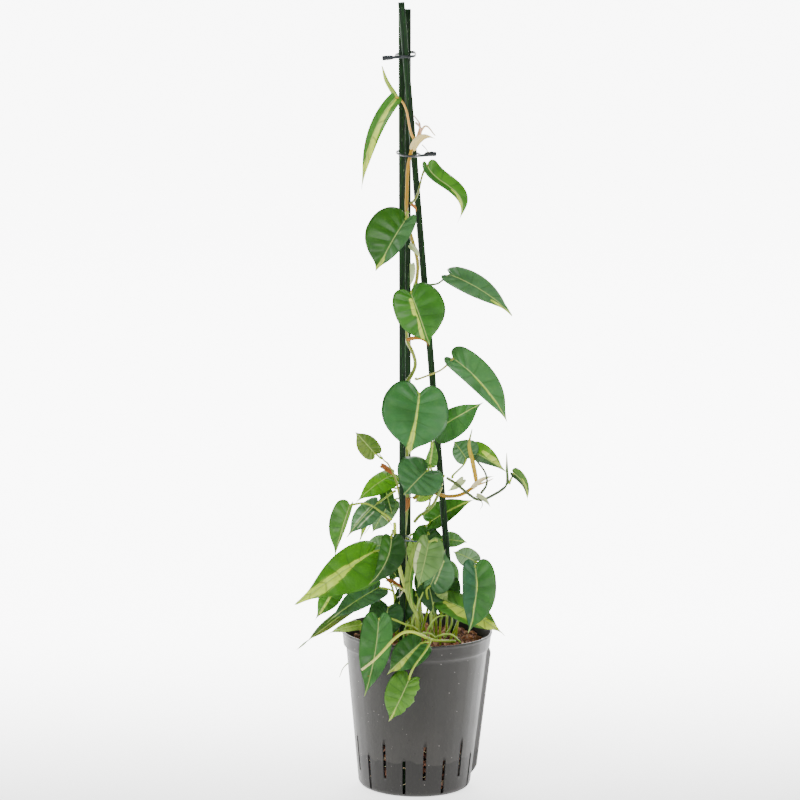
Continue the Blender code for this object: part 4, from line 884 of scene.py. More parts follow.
def slot_roots(rng):
    """Thin pale roots that grew along the wall, two behind every slot."""
    _, starts, _ = slot_angles()
    shells = []
    for number, start in enumerate(starts):
        low = (LOWER_SLOT if number % 2 else UPPER_SLOT)[0]
        for level in rng.uniform(low + 4, low + 38, 2):
            turn = np.radians(start) + np.linspace(-0.07, 0.07, 5) + rng.normal(0, 0.012, 5)
            height = level + np.cumsum(rng.normal(0, 2.2, 5))
            reach = wall_radius(height) - WALL - 1.4
            way = around(reach, turn, height)
            shells.append(sweep(way, (0.45, 0.3), ("#cdbf9c", "#b3a07c"), steps=5, sides=6))
    return shells


def bed_shell():
    """The fine stuff under the chips, dark as painted shade between them and behind the slots: a turned core
    that widens to the wall under its bumpy top.

    The profile is turned about Z. The top's height is the level plus crossed sine waves.
    """
    heights = np.array([3.0, 3.0, 20.0, 60.0, 110.0, 148.0, 160.0, 166.0])
    reach = wall_radius(heights) - WALL - np.array([70.0, 15, 12, 12, 12, 12, 1.0, 0.8])
    reach[0] = 2.0
    profile = np.vstack([np.stack([reach, heights], -1), [(84.6, 171.8)],
                         np.stack([np.linspace(84.8, 2.0, 18), np.full(18, SOIL_LEVEL - 1.5)], -1)])
    turn = np.linspace(0, 2 * math.pi, 96, endpoint=False)
    x = profile[:, :1] * np.sin(turn)
    y = -profile[:, :1] * np.cos(turn)
    bump = 0.9 * np.sin(0.31 * x + 2 * np.sin(0.19 * y)) * np.sin(0.27 * y + 1.5 * np.sin(0.23 * x))
    z = profile[:, 1:] + np.where(profile[:, 1:] > 172, bump, 0)
    index = ring_grid(*x.shape)
    points = np.vstack([np.stack([x, y, z], -1).reshape(-1, 3), [(0, 0, 3.0), (0, 0, SOIL_LEVEL - 1.5)]])
    return Shell(points * MM, grid_quads(index), end_fans(index, x.size))


def stake_shell(top, bottom, phase):
    """A split cane: a square section with eased corners, fluted by shallow grooves along its length.

    The section's radius is that of a rounded square, less grooves that are sums of sines round the
    section, whose depth drifts slowly on the way down.
    """
    top = np.array(top, float)
    bottom = np.array(bottom, float)
    along = unit(top - bottom)
    side = unit(np.cross((0.0, 1.0, 0.0), along))
    front = np.cross(along, side)
    turn = np.linspace(0, 2 * math.pi, 64, endpoint=False)
    share = np.linspace(0, 1, 60)
    square = (np.abs(np.cos(turn)) ** 7 + np.abs(np.sin(turn)) ** 7) ** (-1 / 7)
    drift = 1 + 0.5 * np.sin(9 * share[:, None] + phase + 2 * turn[None, :])
    groove = 0.10 * np.sin(21 * turn + phase) + 0.07 * np.sin(34 * turn + 2 * phase)
    groove = groove + 0.05 * np.sin(13 * turn)
    radius = STAKE_WIDTH / 2 * square[None, :] - 0.12 + groove[None, :] * drift
    bend = 0.5 * np.sin(math.pi * share + phase)[:, None, None] * side
    rings = (bottom + (top - bottom) * share[:, None, None] + bend
             + side * (radius * np.cos(turn))[..., None] + front * (radius * np.sin(turn))[..., None])
    index = ring_grid(len(share), len(turn))
    centre = np.array([rings[0].mean(0), rings[-1].mean(0)])
    points = np.vstack([rings.reshape(-1, 3), centre])
    ways = np.stack(np.broadcast_arrays(turn[None, :] / (2 * math.pi), share[:, None]), -1).reshape(-1, 2)
    ways = np.vstack([ways, [[0.5, 0], [0.5, 1]]])
    cut = np.zeros((len(points), 1))
    cut[-1] = 1.0
    return Shell(points * MM, grid_quads(index), end_fans(index, len(points) - 2), way=ways, cut=cut)


# ------------------------------------------------------------------ materials

EASED = {"interpolation_type": "SMOOTHSTEP"}
COLOUR = {"data_type": "RGBA"}  # a Mix with this takes its factor in socket 0 and its colours in 6 and 7


def waxy_leaf(name, settings, thin):
    """A living heart-leaf: waxy cuticle over green flesh, pale where the tissue has no chlorophyll.

    Satin gloss with soft highlights; light comes through it a little, and more where it is young. The
    side veins lie 5 to 8 mm apart, the flesh between them mottles at 9 and 30 mm, the pale parts end in
    streaks drawn out along the blade, and the underside is duller and paler.
    """
    material, tree, place = new_material(name)
    flat = node(tree, "Attribute", attribute_name="flat").outputs["Vector"]
    from_rib = node(tree, "SeparateXYZ", {0: flat}).outputs["Z"]
    share = node(tree, "SeparateXYZ", {0: node(tree, "UVMap", uv_map="way")})
    streak = node(tree, "Attribute", attribute_name="streak").outputs["Fac"]
    under = node(tree, "Attribute", attribute_name="under").outputs["Fac"]
    # pale streaks: the depth in a streak, made ragged by noise 16 mm long and 2 mm wide
    fingers = node(tree, "Mapping", {"Vector": flat, "Scale": (0.06, 0.5, 0.0)})
    ragged = node(tree, "TexNoise", {"Vector": fingers, "Scale": 1.0, "Detail": 4.0, "Roughness": 0.62})
    ragged = node(tree, "Math", {0: ragged, 1: 1.8, 2: -0.9}, operation="MULTIPLY_ADD")
    depth = node(tree, "Math", {0: streak, 1: ragged}, operation="ADD")
    inside = node(tree, "MapRange", {0: depth, 1: -0.1, 2: 0.12}, **EASED)
    halo = node(tree, "MapRange", {0: depth, 1: -0.9, 2: 0.1, 4: 0.35}, **EASED)
    # green flesh: mottled, cloudy, and yellower beside a streak
    mottle = node(tree, "TexNoise", {"Vector": place, "Scale": 1 / 0.009, "Detail": 4.0, "Roughness": 0.6})
    cloud = node(tree, "TexNoise", {"Vector": place, "Scale": 1 / 0.03, "Detail": 2.0})
    lighter = node(tree, "MapRange", {0: mottle, 1: 0.42, 2: 0.75, 4: 0.16}, **EASED)
    darker = node(tree, "MapRange", {0: cloud, 1: 0.45, 2: 0.75, 4: 0.55}, **EASED)
    colour = node(tree, "Attribute", attribute_name="ground")
    for amount, paint in ((lighter, "#6f9c4a"), (darker, "#1f4a1c"), (halo, "#86a83a")):
        colour = node(tree, "Mix", {0: amount, 6: colour, 7: linear(paint)}, **COLOUR)
    pale = node(tree, "Attribute", attribute_name="pale")
    tinged = node(tree, "MapRange", {0: mottle, 1: 0.3, 2: 0.7, 4: 0.3}, **EASED)
    pale = node(tree, "Mix", {0: tinged, 6: pale, 7: linear("#a4c02c")}, **COLOUR)
    colour = node(tree, "Mix", {0: inside, 6: colour, 7: pale}, **COLOUR)
    # veins: sunken, with painted shade darkening the grooves of the side veins, and pale along the midrib
    vein = node(tree, "Math", {0: share.outputs["X"], 1: float(VEINS)}, operation="MULTIPLY")
    vein = node(tree, "Math", {0: vein, 1: 0.5}, operation="PINGPONG")
    vein = node(tree, "MapRange", {0: vein, 1: 0.0, 2: 0.11, 3: 1.0, 4: 0.0}, **EASED)
    fade = node(tree, "MapRange", {0: from_rib, 1: 0.0, 2: 32.0, 3: 0.45, 4: 0.05}, **EASED)
    vein = node(tree, "Math", {0: vein, 1: fade}, operation="MULTIPLY")
    colour = node(tree, "Mix", {0: vein, 6: colour, 7: linear("#2c5a24")}, **COLOUR)
    rib = node(tree, "MapRange", {0: from_rib, 1: 0.3, 2: 0.95, 3: 0.75, 4: 0.0}, **EASED)
    colour = node(tree, "Mix", {0: rib, 6: colour, 7: linear("#b9cf7a")}, **COLOUR)
    below = node(tree, "Math", {0: under, 1: 0.3}, operation="MULTIPLY")
    colour = node(tree, "Mix", {0: below, 6: colour, 7: linear("#5f8a4c")}, **COLOUR)
    # brown scars, a few millimetres across and far apart
    scar = node(tree, "TexVoronoi", {"Vector": place, "Scale": 1 / 0.028})
    scar = node(tree, "Math", {0: mottle, 1: 0.12, 2: scar}, operation="MULTIPLY_ADD")
    scar = node(tree, "MapRange", {0: scar, 1: 0.085, 2: 0.1, 3: 0.7, 4: 0.0}, **EASED)
    colour = node(tree, "Mix", {0: scar, 6: colour, 7: linear("#8a5f34")}, **COLOUR)
    # the skin: cells about 1.6 mm across, and the veins pressed into it
    cells = node(tree, "TexNoise", {"Vector": place, "Scale": 1 / 0.0016, "Detail": 3.0})
    puckers = node(tree, "Math", {0: mottle, 1: 2.2}, operation="MULTIPLY")
    relief = node(tree, "Math", {0: cells, 1: 0.25, 2: puckers}, operation="MULTIPLY_ADD")
    relief = node(tree, "Math", {0: vein, 1: -1.8, 2: relief}, operation="MULTIPLY_ADD")
    relief = node(tree, "Math", {0: rib, 1: -1.2, 2: relief}, operation="MULTIPLY_ADD")
    normal = node(tree, "Bump", {"Height": relief, "Distance": 0.0005, "Strength": 0.8})
    gloss = settings.leaf_roughness
    rough = node(tree, "MapRange", {0: mottle, 1: 0.2, 2: 0.8, 3: gloss - 0.05, 4: gloss + 0.1})
    dull = node(tree, "Math", {0: under, 1: 0.25, 2: rough}, operation="MULTIPLY_ADD")
    body = node(tree, "BsdfPrincipled", {
        "Base Color": colour, "Roughness": dull, "IOR": 1.45, "Normal": normal,
        "Specular IOR Level": 0.35, "Coat Weight": 0.12, "Coat Roughness": 0.22})
    glow = node(tree, "Mix", {0: 0.45, 6: colour, 7: linear("#a8cf28")}, **COLOUR)
    through = node(tree, "BsdfTranslucent", {"Color": glow})
    both = node(tree, "MixShader", {0: thin, 1: body, 2: through})
    return finished(material, both)


def living_stem(name):
    """Smooth living stem and root skin: satin, with fine lengthwise streaks and small paler pores."""
    material, tree, place = new_material(name)
    stretch = node(tree, "Mapping", {"Vector": place, "Scale": (900.0, 900.0, 90.0)})
    streaks = node(tree, "TexNoise", {"Vector": stretch, "Scale": 1.0, "Detail": 3.0})
    blotch = node(tree, "TexNoise", {"Vector": place, "Scale": 1 / 0.006, "Detail": 3.0})
    pores = node(tree, "TexVoronoi", {"Vector": place, "Scale": 1 / 0.0035})
    dark = node(tree, "MapRange", {0: streaks, 1: 0.4, 2: 0.75, 4: 0.3}, **EASED)
    brown = node(tree, "MapRange", {0: blotch, 1: 0.6, 2: 0.8, 4: 0.25}, **EASED)
    pale = node(tree, "MapRange", {0: pores, 1: 0.05, 2: 0.16, 3: 0.2, 4: 0.0}, **EASED)
    colour = node(tree, "Attribute", attribute_name="tint")
    for amount, paint in ((dark, "#5a6a24"), (brown, "#a87a3a"), (pale, "#e6dca8")):
        colour = node(tree, "Mix", {0: amount, 6: colour, 7: linear(paint)}, **COLOUR)
    normal = node(tree, "Bump", {"Height": streaks, "Distance": 0.0003, "Strength": 0.6})
    body = node(tree, "BsdfPrincipled", {
        "Base Color": colour, "Roughness": 0.42, "IOR": 1.42, "Normal": normal, "Subsurface Weight": 0.08,
        "Subsurface Scale": 0.002})
    return finished(material, body)


def papery_sheath(name):
    """Dried leaf sheath: dull and papery, with parallel veins about 0.7 mm apart."""
    material, tree, place = new_material(name)
    stretch = node(tree, "Mapping", {"Vector": place, "Scale": (1400.0, 700.0, 120.0)})
    fibres = node(tree, "TexNoise", {"Vector": stretch, "Scale": 1.0, "Detail": 3.0})
    worn = node(tree, "MapRange", {0: fibres, 1: 0.45, 2: 0.8, 4: 0.3}, **EASED)
    colour = node(tree, "Attribute", attribute_name="tint")
    colour = node(tree, "Mix", {0: worn, 6: colour, 7: linear("#8a5a2c")}, **COLOUR)
    normal = node(tree, "Bump", {"Height": fibres, "Distance": 0.0004})
    body = node(tree, "BsdfPrincipled", {"Base Color": colour, "Roughness": 0.7, "Normal": normal})
    through = node(tree, "BsdfTranslucent", {"Color": colour})
    both = node(tree, "MixShader", {0: 0.2, 1: body, 2: through})
    return finished(material, both)


def moulded_polypropylene(name, settings):
    """Injection-moulded grey polypropylene: an even satin skin with a faint orange peel of about 1 mm.

    The lower part has a darker water mark with a wavy edge, and the skin carries pale lime specks and
    dark splashes from watering.
    """
    material, tree, place = new_material(name)
    height = node(tree, "SeparateXYZ", {0: place}).outputs["Z"]
    cloud = node(tree, "TexNoise", {"Vector": place, "Scale": 1 / 0.045, "Detail": 3.0})
    wave = node(tree, "Math", {0: cloud, 1: 0.034, 2: height}, operation="MULTIPLY_ADD")
    mark = settings.water_mark + 0.017
    mark = node(tree, "MapRange", {0: wave, 1: mark - 0.001, 2: mark + 0.001, 3: 0.75, 4: 0.0}, **EASED)
    scuffed = node(tree, "MapRange", {0: cloud, 1: 0.35, 2: 0.75, 4: 0.6}, **EASED)
    colour = opaque(settings.pot_colour)
    for amount, paint in ((scuffed, "#403e3b"), (mark, "#262524")):
        colour = node(tree, "Mix", {0: amount, 6: colour, 7: linear(paint)}, **COLOUR)
    spots = node(tree, "TexVoronoi", {"Vector": place, "Scale": 1 / 0.0055})
    small = node(tree, "MapRange", {0: spots, 1: 0.06, 2: 0.14, 3: 1.0, 4: 0.0}, **EASED)
    chance = node(tree, "SeparateColor", {0: spots.outputs["Color"]})
    lime = node(tree, "MapRange", {0: chance.outputs["Red"], 1: 0.76, 2: 0.8, 4: 0.5}, **EASED)
    lime = node(tree, "Math", {0: lime, 1: small}, operation="MULTIPLY")
    splash = node(tree, "MapRange", {0: chance.outputs["Green"], 1: 0.7, 2: 0.74, 4: 0.75}, **EASED)
    splash = node(tree, "Math", {0: splash, 1: small}, operation="MULTIPLY")
    for amount, paint in ((lime, "#aaa6a0"), (splash, "#232221")):
        colour = node(tree, "Mix", {0: amount, 6: colour, 7: linear(paint)}, **COLOUR)
    peel = node(tree, "TexNoise", {"Vector": place, "Scale": 1 / 0.0011, "Detail": 2.0})
    relief = node(tree, "Math", {0: splash, 1: -1.5, 2: peel}, operation="MULTIPLY_ADD")
    normal = node(tree, "Bump", {"Height": relief, "Distance": 0.00015, "Strength": 0.8})
    rough = node(tree, "MapRange", {0: cloud, 1: 0.3, 2: 0.7, 3: 0.4, 4: 0.52})
    body = node(tree, "BsdfPrincipled", {
        "Base Color": colour, "Roughness": rough, "IOR": 1.49, "Specular IOR Level": 0.22, "Normal": normal})
    return finished(material, body)


def fired_clay(name):
    """Fired clay, broken: dull and porous, reddish brown, with dusty paler faces and pores under 1 mm."""
    material, tree, place = new_material(name)
    grain = node(tree, "TexNoise", {"Vector": place, "Scale": 1 / 0.0018, "Detail": 4.0, "Roughness": 0.7})
    dust = node(tree, "TexNoise", {"Vector": place, "Scale": 1 / 0.007, "Detail": 2.0})
    pitted = node(tree, "MapRange", {0: grain, 1: 0.42, 2: 0.75, 4: 0.7}, **EASED)
    dusty = node(tree, "MapRange", {0: dust, 1: 0.52, 2: 0.75, 4: 0.55}, **EASED)
    colour = node(tree, "Attribute", attribute_name="tint")
    for amount, paint in ((pitted, "#3f2219"), (dusty, "#c2917a")):
        colour = node(tree, "Mix", {0: amount, 6: colour, 7: linear(paint)}, **COLOUR)
    normal = node(tree, "Bump", {"Height": grain, "Distance": 0.0008})
    body = node(tree, "BsdfPrincipled", {"Base Color": colour, "Roughness": 0.92, "Normal": normal})
    return finished(material, body)


def clay_bed(name):
    """Fine clay and dust in the gaps of the bed, painted very dark as the shade between the chips: dull,
    crumbling at 2 to 6 mm.
    """
    material, tree, place = new_material(name)
    crumbs = node(tree, "TexVoronoi", {"Vector": place, "Scale": 1 / 0.005})
    tone = node(tree, "SeparateColor", {0: crumbs.outputs["Color"]})
    tone = node(tree, "MapRange", {0: tone, 1: 0.3, 2: 1.0}, **EASED)
    # painted shade: these near-black browns stand for the shadow in the gaps between the chips
    colour = node(tree, "Mix", {0: tone, 6: linear("#1a100c"), 7: linear("#4f2f22")}, **COLOUR)
    normal = node(tree, "Bump", {"Height": crumbs, "Distance": 0.002})
    body = node(tree, "BsdfPrincipled", {"Base Color": colour, "Roughness": 0.95, "Normal": normal})
    return finished(material, body)


def root_peat(name):
    """Damp peat of a plug plant: near black, fibrous, with fibres about half a millimetre thick."""
    material, tree, place = new_material(name)
    stretch = node(tree, "Mapping", {"Vector": place, "Scale": (500.0, 1500.0, 900.0)})
    fibre = node(tree, "TexNoise", {"Vector": stretch, "Scale": 1.0, "Detail": 4.0, "Roughness": 0.7})
    tone = node(tree, "MapRange", {0: fibre, 1: 0.4, 2: 0.75}, **EASED)
    colour = node(tree, "Mix", {0: tone, 6: linear("#241a12"), 7: linear("#6a4f36")}, **COLOUR)
    normal = node(tree, "Bump", {"Height": fibre, "Distance": 0.0012})
    body = node(tree, "BsdfPrincipled", {"Base Color": colour, "Roughness": 0.95, "Normal": normal})
    return finished(material, body)


def dyed_split_cane(name, settings):
    """Split wood dyed dark green: dull, with open lengthwise grain about 1 mm wide and 45 mm long.

    Dye lies thin on the ridges, where pale wood flecks show, and pools dark in the grooves.
    """
    material, tree, place = new_material(name)
    fine = node(tree, "Mapping", {"Vector": place, "Scale": (1 / 0.0011, 1 / 0.0011, 1 / 0.045)})
    wide = node(tree, "Mapping", {"Vector": place, "Scale": (1 / 0.003, 1 / 0.003, 1 / 0.16)})
    tiny = node(tree, "Mapping", {"Vector": place, "Scale": (1 / 0.0008, 1 / 0.0008, 1 / 0.005)})
    grain = node(tree, "TexNoise", {"Vector": fine, "Scale": 1.0, "Detail": 4.0, "Roughness": 0.6})
    broad = node(tree, "TexNoise", {"Vector": wide, "Scale": 1.0, "Detail": 2.0})
    fleck = node(tree, "TexNoise", {"Vector": tiny, "Scale": 1.0, "Detail": 1.0})
    dyed = node(tree, "MapRange", {0: grain, 1: 0.4, 2: 0.66}, **EASED)
    worn = node(tree, "MapRange", {0: broad, 1: 0.52, 2: 0.75, 4: 0.5}, **EASED)
    bare = node(tree, "MapRange", {0: fleck, 1: 0.7, 2: 0.78, 4: 0.6}, **EASED)
    cut = node(tree, "Attribute", attribute_name="cut").outputs["Fac"]
    dye = opaque(settings.stake_colour)
    colour = node(tree, "Mix", {0: dyed, 6: linear("#101f14"), 7: dye}, **COLOUR)
    for amount, paint in ((worn, "#265020"), (bare, "#86a47c"), (cut, "#4f9480")):
        colour = node(tree, "Mix", {0: amount, 6: colour, 7: linear(paint)}, **COLOUR)
    normal = node(tree, "Bump", {"Height": grain, "Distance": 0.0009})
    body = node(tree, "BsdfPrincipled", {
        "Base Color": colour, "Roughness": 0.6, "Specular IOR Level": 0.2, "Normal": normal})
    return finished(material, body)


def tie_plastic(name, colour, shine):
    """Soft PVC garden tie: smooth and slightly shiny, with a faint scuff grain of about 0.6 mm."""
    material, tree, place = new_material(name)
    scuff = node(tree, "TexNoise", {"Vector": place, "Scale": 1 / 0.0006, "Detail": 2.0})
    worn = node(tree, "MapRange", {0: scuff, 1: 0.45, 2: 0.8, 4: 0.35}, **EASED)
    tone = node(tree, "Mix", {0: worn, 6: linear(colour), 7: linear("#3a4c52")}, **COLOUR)
    normal = node(tree, "Bump", {"Height": scuff, "Distance": 0.0001})
    body = node(tree, "BsdfPrincipled", {
        "Base Color": tone, "Roughness": shine, "IOR": 1.52, "Normal": normal})
    return finished(material, body)


def studio_paper(name, glow):
    """Seamless matt white paper that glows with painted light, more where it lies further back than the
    plant.

    The glow rises from a tenth of its strength 0.4 m in front of the pot to all of it 0.9 m behind.
    """
    material, tree, place = new_material(name)
    tooth = node(tree, "TexNoise", {"Vector": place, "Scale": 1 / 0.002, "Detail": 2.0})
    tone = node(tree, "MapRange", {0: tooth, 1: 0.3, 2: 0.7, 4: 0.03}, **EASED)
    tone = node(tree, "Mix", {0: tone, 6: linear("#ffffff"), 7: linear("#ececea")}, **COLOUR)
    behind = node(tree, "SeparateXYZ", {0: place}).outputs["Y"]
    lit = node(tree, "MapRange", {0: behind, 1: -0.4, 2: 0.9, 3: 0.1 * glow, 4: glow}, **EASED)
    body = node(tree, "BsdfPrincipled", {
        "Base Color": tone, "Roughness": 0.95, "Emission Color": linear("#ffffff"), "Emission Strength": lit})
    return finished(material, body)


# ------------------------------------------------------------------ settings, operators and panel

class ClimberLeafSettings(bpy.types.PropertyGroup):
    leaf_roughness: FloatProperty(
        name="Leaf roughness", description="Roughness of the waxy skin", default=0.4, min=0.1, max=1.0)
    light_through: FloatProperty(
        name="Light through", description="Share of light that passes a grown blade", default=0.22,
        min=0.0, max=1.0, subtype="FACTOR")
    light_through_young: FloatProperty(
        name="Light through, young", description="Share of light that passes a young blade", default=0.38,
        min=0.0, max=1.0, subtype="FACTOR")
    petiole_radius: FloatProperty(
        name="Petiole radius", description="Radius of a leaf's stalk at its middle", default=1.3 * MM,
        unit="LENGTH", subtype="DISTANCE")


class ClimberPotSettings(bpy.types.PropertyGroup):
    pot_colour: FloatVectorProperty(
        name="Pot colour", description="Colour of the moulded pot", size=4, subtype="COLOR",
        default=linear("#363533"), min=0.0, max=1.0)
    water_mark: FloatProperty(
        name="Water mark", description="Height of the dull water mark above the foot", default=0.044,
        unit="LENGTH", subtype="DISTANCE")
    stake_colour: FloatVectorProperty(
        name="Stake dye", description="Colour of the stakes' dye", size=4, subtype="COLOR",
        default=linear("#163c12"), min=0.0, max=1.0)
    chips: IntProperty(
        name="Clay chips", description="Number of loose chips on the bed", default=500, min=50, max=3000)


class ClimberStageSettings(bpy.types.PropertyGroup):
    camera_height: FloatProperty(
        name="Camera height", description="Height of the camera above the floor", default=1.37,
        unit="LENGTH", subtype="DISTANCE")
    camera_distance: FloatProperty(
        name="Camera distance", description="Distance of the camera in front of the pot", default=5.0,
        unit="LENGTH", subtype="DISTANCE")
    key_power: FloatProperty(
        name="Key light", description="Power of the large light at the left", default=80.0, unit="POWER")
    sky: FloatProperty(
        name="Room light", description="Strength of the even light from all round", default=0.3)
    # the paper's glow is painted light from the paper itself; no lamp stands behind it
    paper_glow: FloatProperty(
        name="Paper glow", description="Strength of the light behind the paper", default=7.5)


class CLIMBER_OT_pot(bpy.types.Operator):
    """Build the slotted culture pot as one turned wall with its collar, gauge channel and slots"""
    bl_idname = "climber.pot"
    bl_label = "Culture pot"

    def execute(self, context):
        material = moulded_polypropylene("pp_moulded_grey", context.scene.climber_pot)
        make_piece("culture_pot", [pot_shell()], [material], "pot_plastic", ["pot"])
        return {"FINISHED"}


class CLIMBER_OT_substrate(bpy.types.Operator):
    """Finish the bed of clay and the root plug, and scatter loose broken chips on them"""
    bl_idname = "climber.substrate"
    bl_label = "Clay chips"

    def execute(self, context):
        rng = np.random.default_rng(11)
        make_piece("clay_bed", [bed_shell()], [clay_bed("bed_gaps_painted_shade")], "clay_chips", ["substrate"])
        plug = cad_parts["root_ball"]
        plug.data.materials.clear()
        plug.data.materials.append(root_peat("root_plug_peat"))
        clay = fired_clay("fired_clay_chips")
        count = context.scene.climber_pot.chips
        chips = chip_shell(rng, bed_places(rng, count, BED_RADIUS, SOIL_LEVEL + 1.4), *BED_CHIPS)
        make_piece("clay_chips", [chips], [clay], "clay_chips", flat=True)
        chips = chip_shell(rng, slot_places(rng), *SLOT_CHIPS)
        make_piece("slot_chips", [chips], [clay], "clay_chips", flat=True)
        make_piece("slot_roots", slot_roots(rng), [living_stem("pale_root")], "stem")
        return {"FINISHED"}


class CLIMBER_OT_stakes(bpy.types.Operator):
    """Build the three dyed split canes"""
    bl_idname = "climber.stakes"
    bl_label = "Stakes"

    def execute(self, context):
        cane = dyed_split_cane("dyed_split_cane", context.scene.climber_pot)
        for name, (top, bottom, phase) in STAKES.items():
            shell = stake_shell(top, bottom, phase)
            make_piece(name.replace("stake", "cane"), [shell], [cane], "dyed_cane", [name])
        return {"FINISHED"}


class CLIMBER_OT_ties(bpy.types.Operator):
    """Build the two flat ties with their heads and the twist wire"""
    bl_idname = "climber.ties"
    bl_label = "Ties"

    def execute(self, context):
        black = tie_plastic("tie_pvc_black", "#141c1e", 0.38)
        wire = tie_plastic("twist_wire_pvc", "#3a4a56", 0.4)
        for name, (band, radius, flat, end, end_radii, end_flat) in TIES.items():
            shells = [sweep(band, (radius,), steps=10, sides=12, flat=flat, facing=(0, 0, 1), closed=True),
                      sweep(end, end_radii, steps=6, sides=14, flat=end_flat, facing=(0, 0, 1))]
            colour = wire if name == "tie_low" else black
            make_piece(name.replace("tie", "plant_tie"), shells, [colour], "tie_plastic", [name])
        return {"FINISHED"}


class CLIMBER_OT_vines(bpy.types.Operator):
    """Build the climbing stems with their side shoots"""
    bl_idname = "climber.vines"
    bl_label = "Stems"

    def execute(self, context):
        skin = living_stem("living_stem")
        for name, runs in VINES.items():
            shells = [sweep(points, radii, colours, steps=10) for radii, points, colours in runs]
            make_piece(name.replace("vine", "stem"), shells, [skin], "stem", [name])
        for name, (points, radii, colours) in SPEARS.items():
            shell = sweep(points, radii, colours, steps=12, sides=18, twist=2 * math.pi, ridge=0.14)
            make_piece(name, [shell], [skin], "leaf")
        for name, (points, radii, colours) in ROOTS.items():
            make_piece(name, [sweep(points, radii, colours, steps=8, sides=10)], [skin], "stem")
        return {"FINISHED"}


class CLIMBER_OT_sheaths(bpy.types.Operator):
    """Build the dried and the fresh sheaths at the joints"""
    bl_idname = "climber.sheaths"
    bl_label = "Sheaths"

    def execute(self, context):
        paper = papery_sheath("papery_leaf_sheath")
        for name, row in SHEATHS.items():
            make_piece(name, [sheath_shell(row)], [paper], "stem")
        return {"FINISHED"}


class CLIMBER_OT_leaves(bpy.types.Operator):
    """Build every leaf: its blade and the stalk that carries it"""
    bl_idname = "climber.leaves"
    bl_label = "Leaves"

    def execute(self, context):
        settings = context.scene.climber_leaf
        skins = (waxy_leaf("waxy_leaf_grown", settings, settings.light_through),
                 waxy_leaf("waxy_leaf_young", settings, settings.light_through_young))
        stem = living_stem("leaf_stalk")
        radius = settings.petiole_radius / MM
        for number, (name, row) in enumerate((LEAVES | INNER_LEAVES).items()):
            stalk = np.vstack([[row["joint"]], row["petiole"]])
            reach = STALK_SWAY * np.linalg.norm(stalk[0] - stalk[-1])
            sway = (reach * math.cos(SWAY_STEP * number), reach * math.sin(SWAY_STEP * number), 0.0)
            shells = [blade_shell(row, number),
                      sweep(stalk, (radius * 1.1, radius * 0.9, radius, radius * 1.3), (row["stem"],),
                            steps=8, sides=10, slot=1, sway=sway)]
            make_piece(name.replace("leaf", "blade"), shells, [skins[row["skin"]], stem], "leaf",
                       [name] if name in LEAVES else [])
        return {"FINISHED"}


class CLIMBER_OT_stage(bpy.types.Operator):
    """Set up the pale floor, the soft lights and the camera"""
    bl_idname = "climber.stage"
    bl_label = "Stage"

    def execute(self, context):
        settings = context.scene.climber_stage
        make_floor(settings)
        make_camera(settings)
        make_lights(settings)
        return {"FINISHED"}


FLOOR_REACH = 9  # metres to each side
FLOOR_BEND = 4  # where the sheet starts to rise, behind the pot
CAMERA_LENS = 194.3
CAMERA_TIP = 10.225  # degrees below level
CAMERA_TURN = 5.342  # degrees to the right
CAMERA_LEFT = -0.5
LIGHTS_AIM = (0, 0, 0.45)
# Round area lights: place, diameter, share of the key light's power
LIGHTS = {
    "key": ((-1.6, -2.2, 2.6), 1.6, 1.0),
    "fill": ((2.4, -1.6, 1.6), 1.8, 0.4),
    "back": ((0.6, 2.6, 2.2), 1.4, 0.5),
}


def make_floor(settings):
    """A seamless sheet: level under the pot and curving up far behind it."""
    x, y = np.meshgrid(np.linspace(-FLOOR_REACH, FLOOR_REACH, 25), np.linspace(-FLOOR_REACH, FLOOR_REACH, 60))
    z = 0.25 * np.clip(y - FLOOR_BEND, 0, None) ** 2
    quads = grid_quads(np.arange(x.size).reshape(x.shape)).reshape(-1, 4)
    mesh = bpy.data.meshes.new("studio_floor")
    mesh.from_pydata(np.stack([x, y, z], -1).reshape(-1, 3).tolist(), [], quads.tolist())
    mesh.polygons.foreach_set("use_smooth", np.full(len(quads), True))
    mesh.materials.append(studio_paper("studio_paper", settings.paper_glow))
    floor = bpy.data.objects.new("studio_floor", mesh)
    bpy.context.scene.collection.objects.link(floor)
    floor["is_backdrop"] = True


def make_camera(settings):
    """A long lens in front and a little above, tipped down and turned to the right."""
    data = bpy.data.cameras.new("camera")
    data.sensor_width = 36.0
    data.lens = CAMERA_LENS
    data.clip_end = 100.0
    camera = bpy.data.objects.new("camera", data)
    tip = Matrix.Rotation(math.radians(90 - CAMERA_TIP), 4, "X")
    turn = Matrix.Rotation(math.radians(-CAMERA_TURN), 4, "Y")
    place = Matrix.Translation((CAMERA_LEFT, -settings.camera_distance, settings.camera_height))
    camera.matrix_world = place @ (tip @ turn)
    bpy.context.scene.collection.objects.link(camera)
    bpy.context.scene.camera = camera


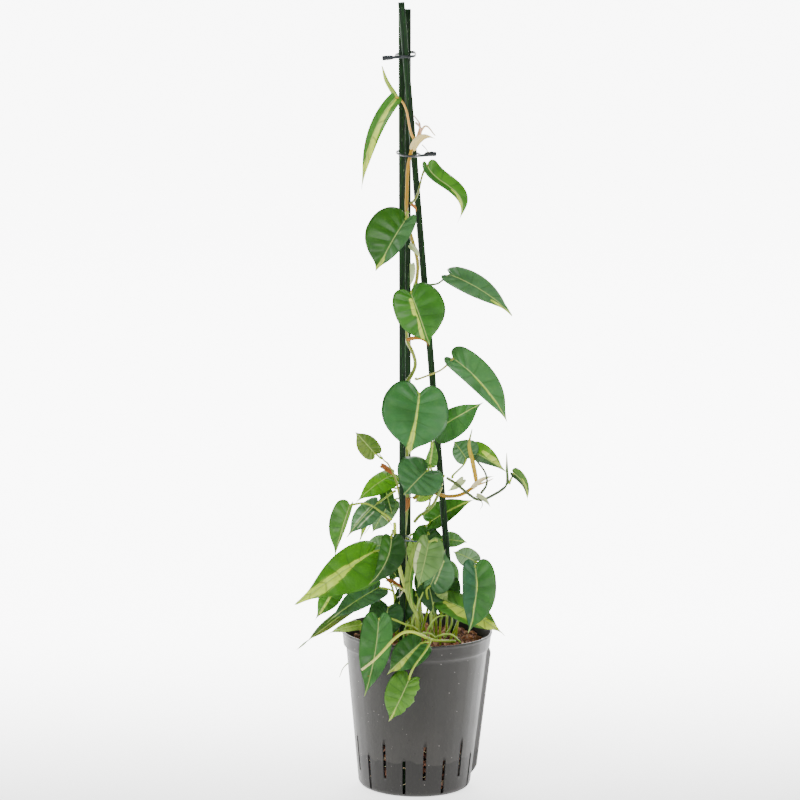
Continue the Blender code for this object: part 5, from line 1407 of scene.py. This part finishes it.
def make_lights(settings):
    """Even white room light and the three soft lights, each aimed at the plant's lower middle."""
    world = bpy.data.worlds.new("studio_room")
    world.use_nodes = True
    world.node_tree.nodes["Background"].inputs["Color"].default_value = (1.0, 1.0, 1.0, 1.0)
    world.node_tree.nodes["Background"].inputs["Strength"].default_value = settings.sky
    bpy.context.scene.world = world
    for name, (place, size, share) in LIGHTS.items():
        data = bpy.data.lights.new(name, "AREA")
        data.shape = "DISK"
        data.size = size
        data.energy = share * settings.key_power
        light = bpy.data.objects.new(name, data)
        aim = Vector(place) - Vector(LIGHTS_AIM)
        light.matrix_world = Matrix.Translation(place) @ aim.to_track_quat("Z", "Y").to_matrix().to_4x4()
        bpy.context.scene.collection.objects.link(light)


class CLIMBER_PT_panel(bpy.types.Panel):
    """The climber's settings and the buttons that build its pieces"""
    bl_idname = "CLIMBER_PT_panel"
    bl_label = "Potted climber"
    bl_space_type = "VIEW_3D"
    bl_region_type = "UI"
    bl_category = "Climber"

    def draw(self, context):
        scene = context.scene
        for group in (scene.climber_leaf, scene.climber_pot, scene.climber_stage):
            box = self.layout.box()
            for name in group.bl_rna.properties.keys():
                if name not in ("rna_type", "name"):
                    box.prop(group, name)
        for operator in OPERATORS:
            self.layout.operator(operator.bl_idname)


OPERATORS = (CLIMBER_OT_stage, CLIMBER_OT_pot, CLIMBER_OT_substrate, CLIMBER_OT_stakes, CLIMBER_OT_ties,
             CLIMBER_OT_vines, CLIMBER_OT_sheaths, CLIMBER_OT_leaves)
CLASSES = (ClimberLeafSettings, ClimberPotSettings, ClimberStageSettings, *OPERATORS, CLIMBER_PT_panel)


def register():
    for made in CLASSES:
        bpy.utils.register_class(made)
    bpy.types.Scene.climber_leaf = PointerProperty(type=ClimberLeafSettings)
    bpy.types.Scene.climber_pot = PointerProperty(type=ClimberPotSettings)
    bpy.types.Scene.climber_stage = PointerProperty(type=ClimberStageSettings)


def unregister():
    del bpy.types.Scene.climber_leaf
    del bpy.types.Scene.climber_pot
    del bpy.types.Scene.climber_stage
    for made in reversed(CLASSES):
        bpy.utils.unregister_class(made)


def main():
    register()
    bpy.ops.climber.stage()
    bpy.ops.climber.pot()
    bpy.ops.climber.substrate()
    bpy.ops.climber.stakes()
    bpy.ops.climber.ties()
    bpy.ops.climber.vines()
    bpy.ops.climber.sheaths()
    bpy.ops.climber.leaves()
    sizes = {"cad": [list(map(float, corner)) for corner in CAD_BOX],
             "visual": [list(map(float, corner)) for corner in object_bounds()]}


if __name__ == "__main__":
    main()
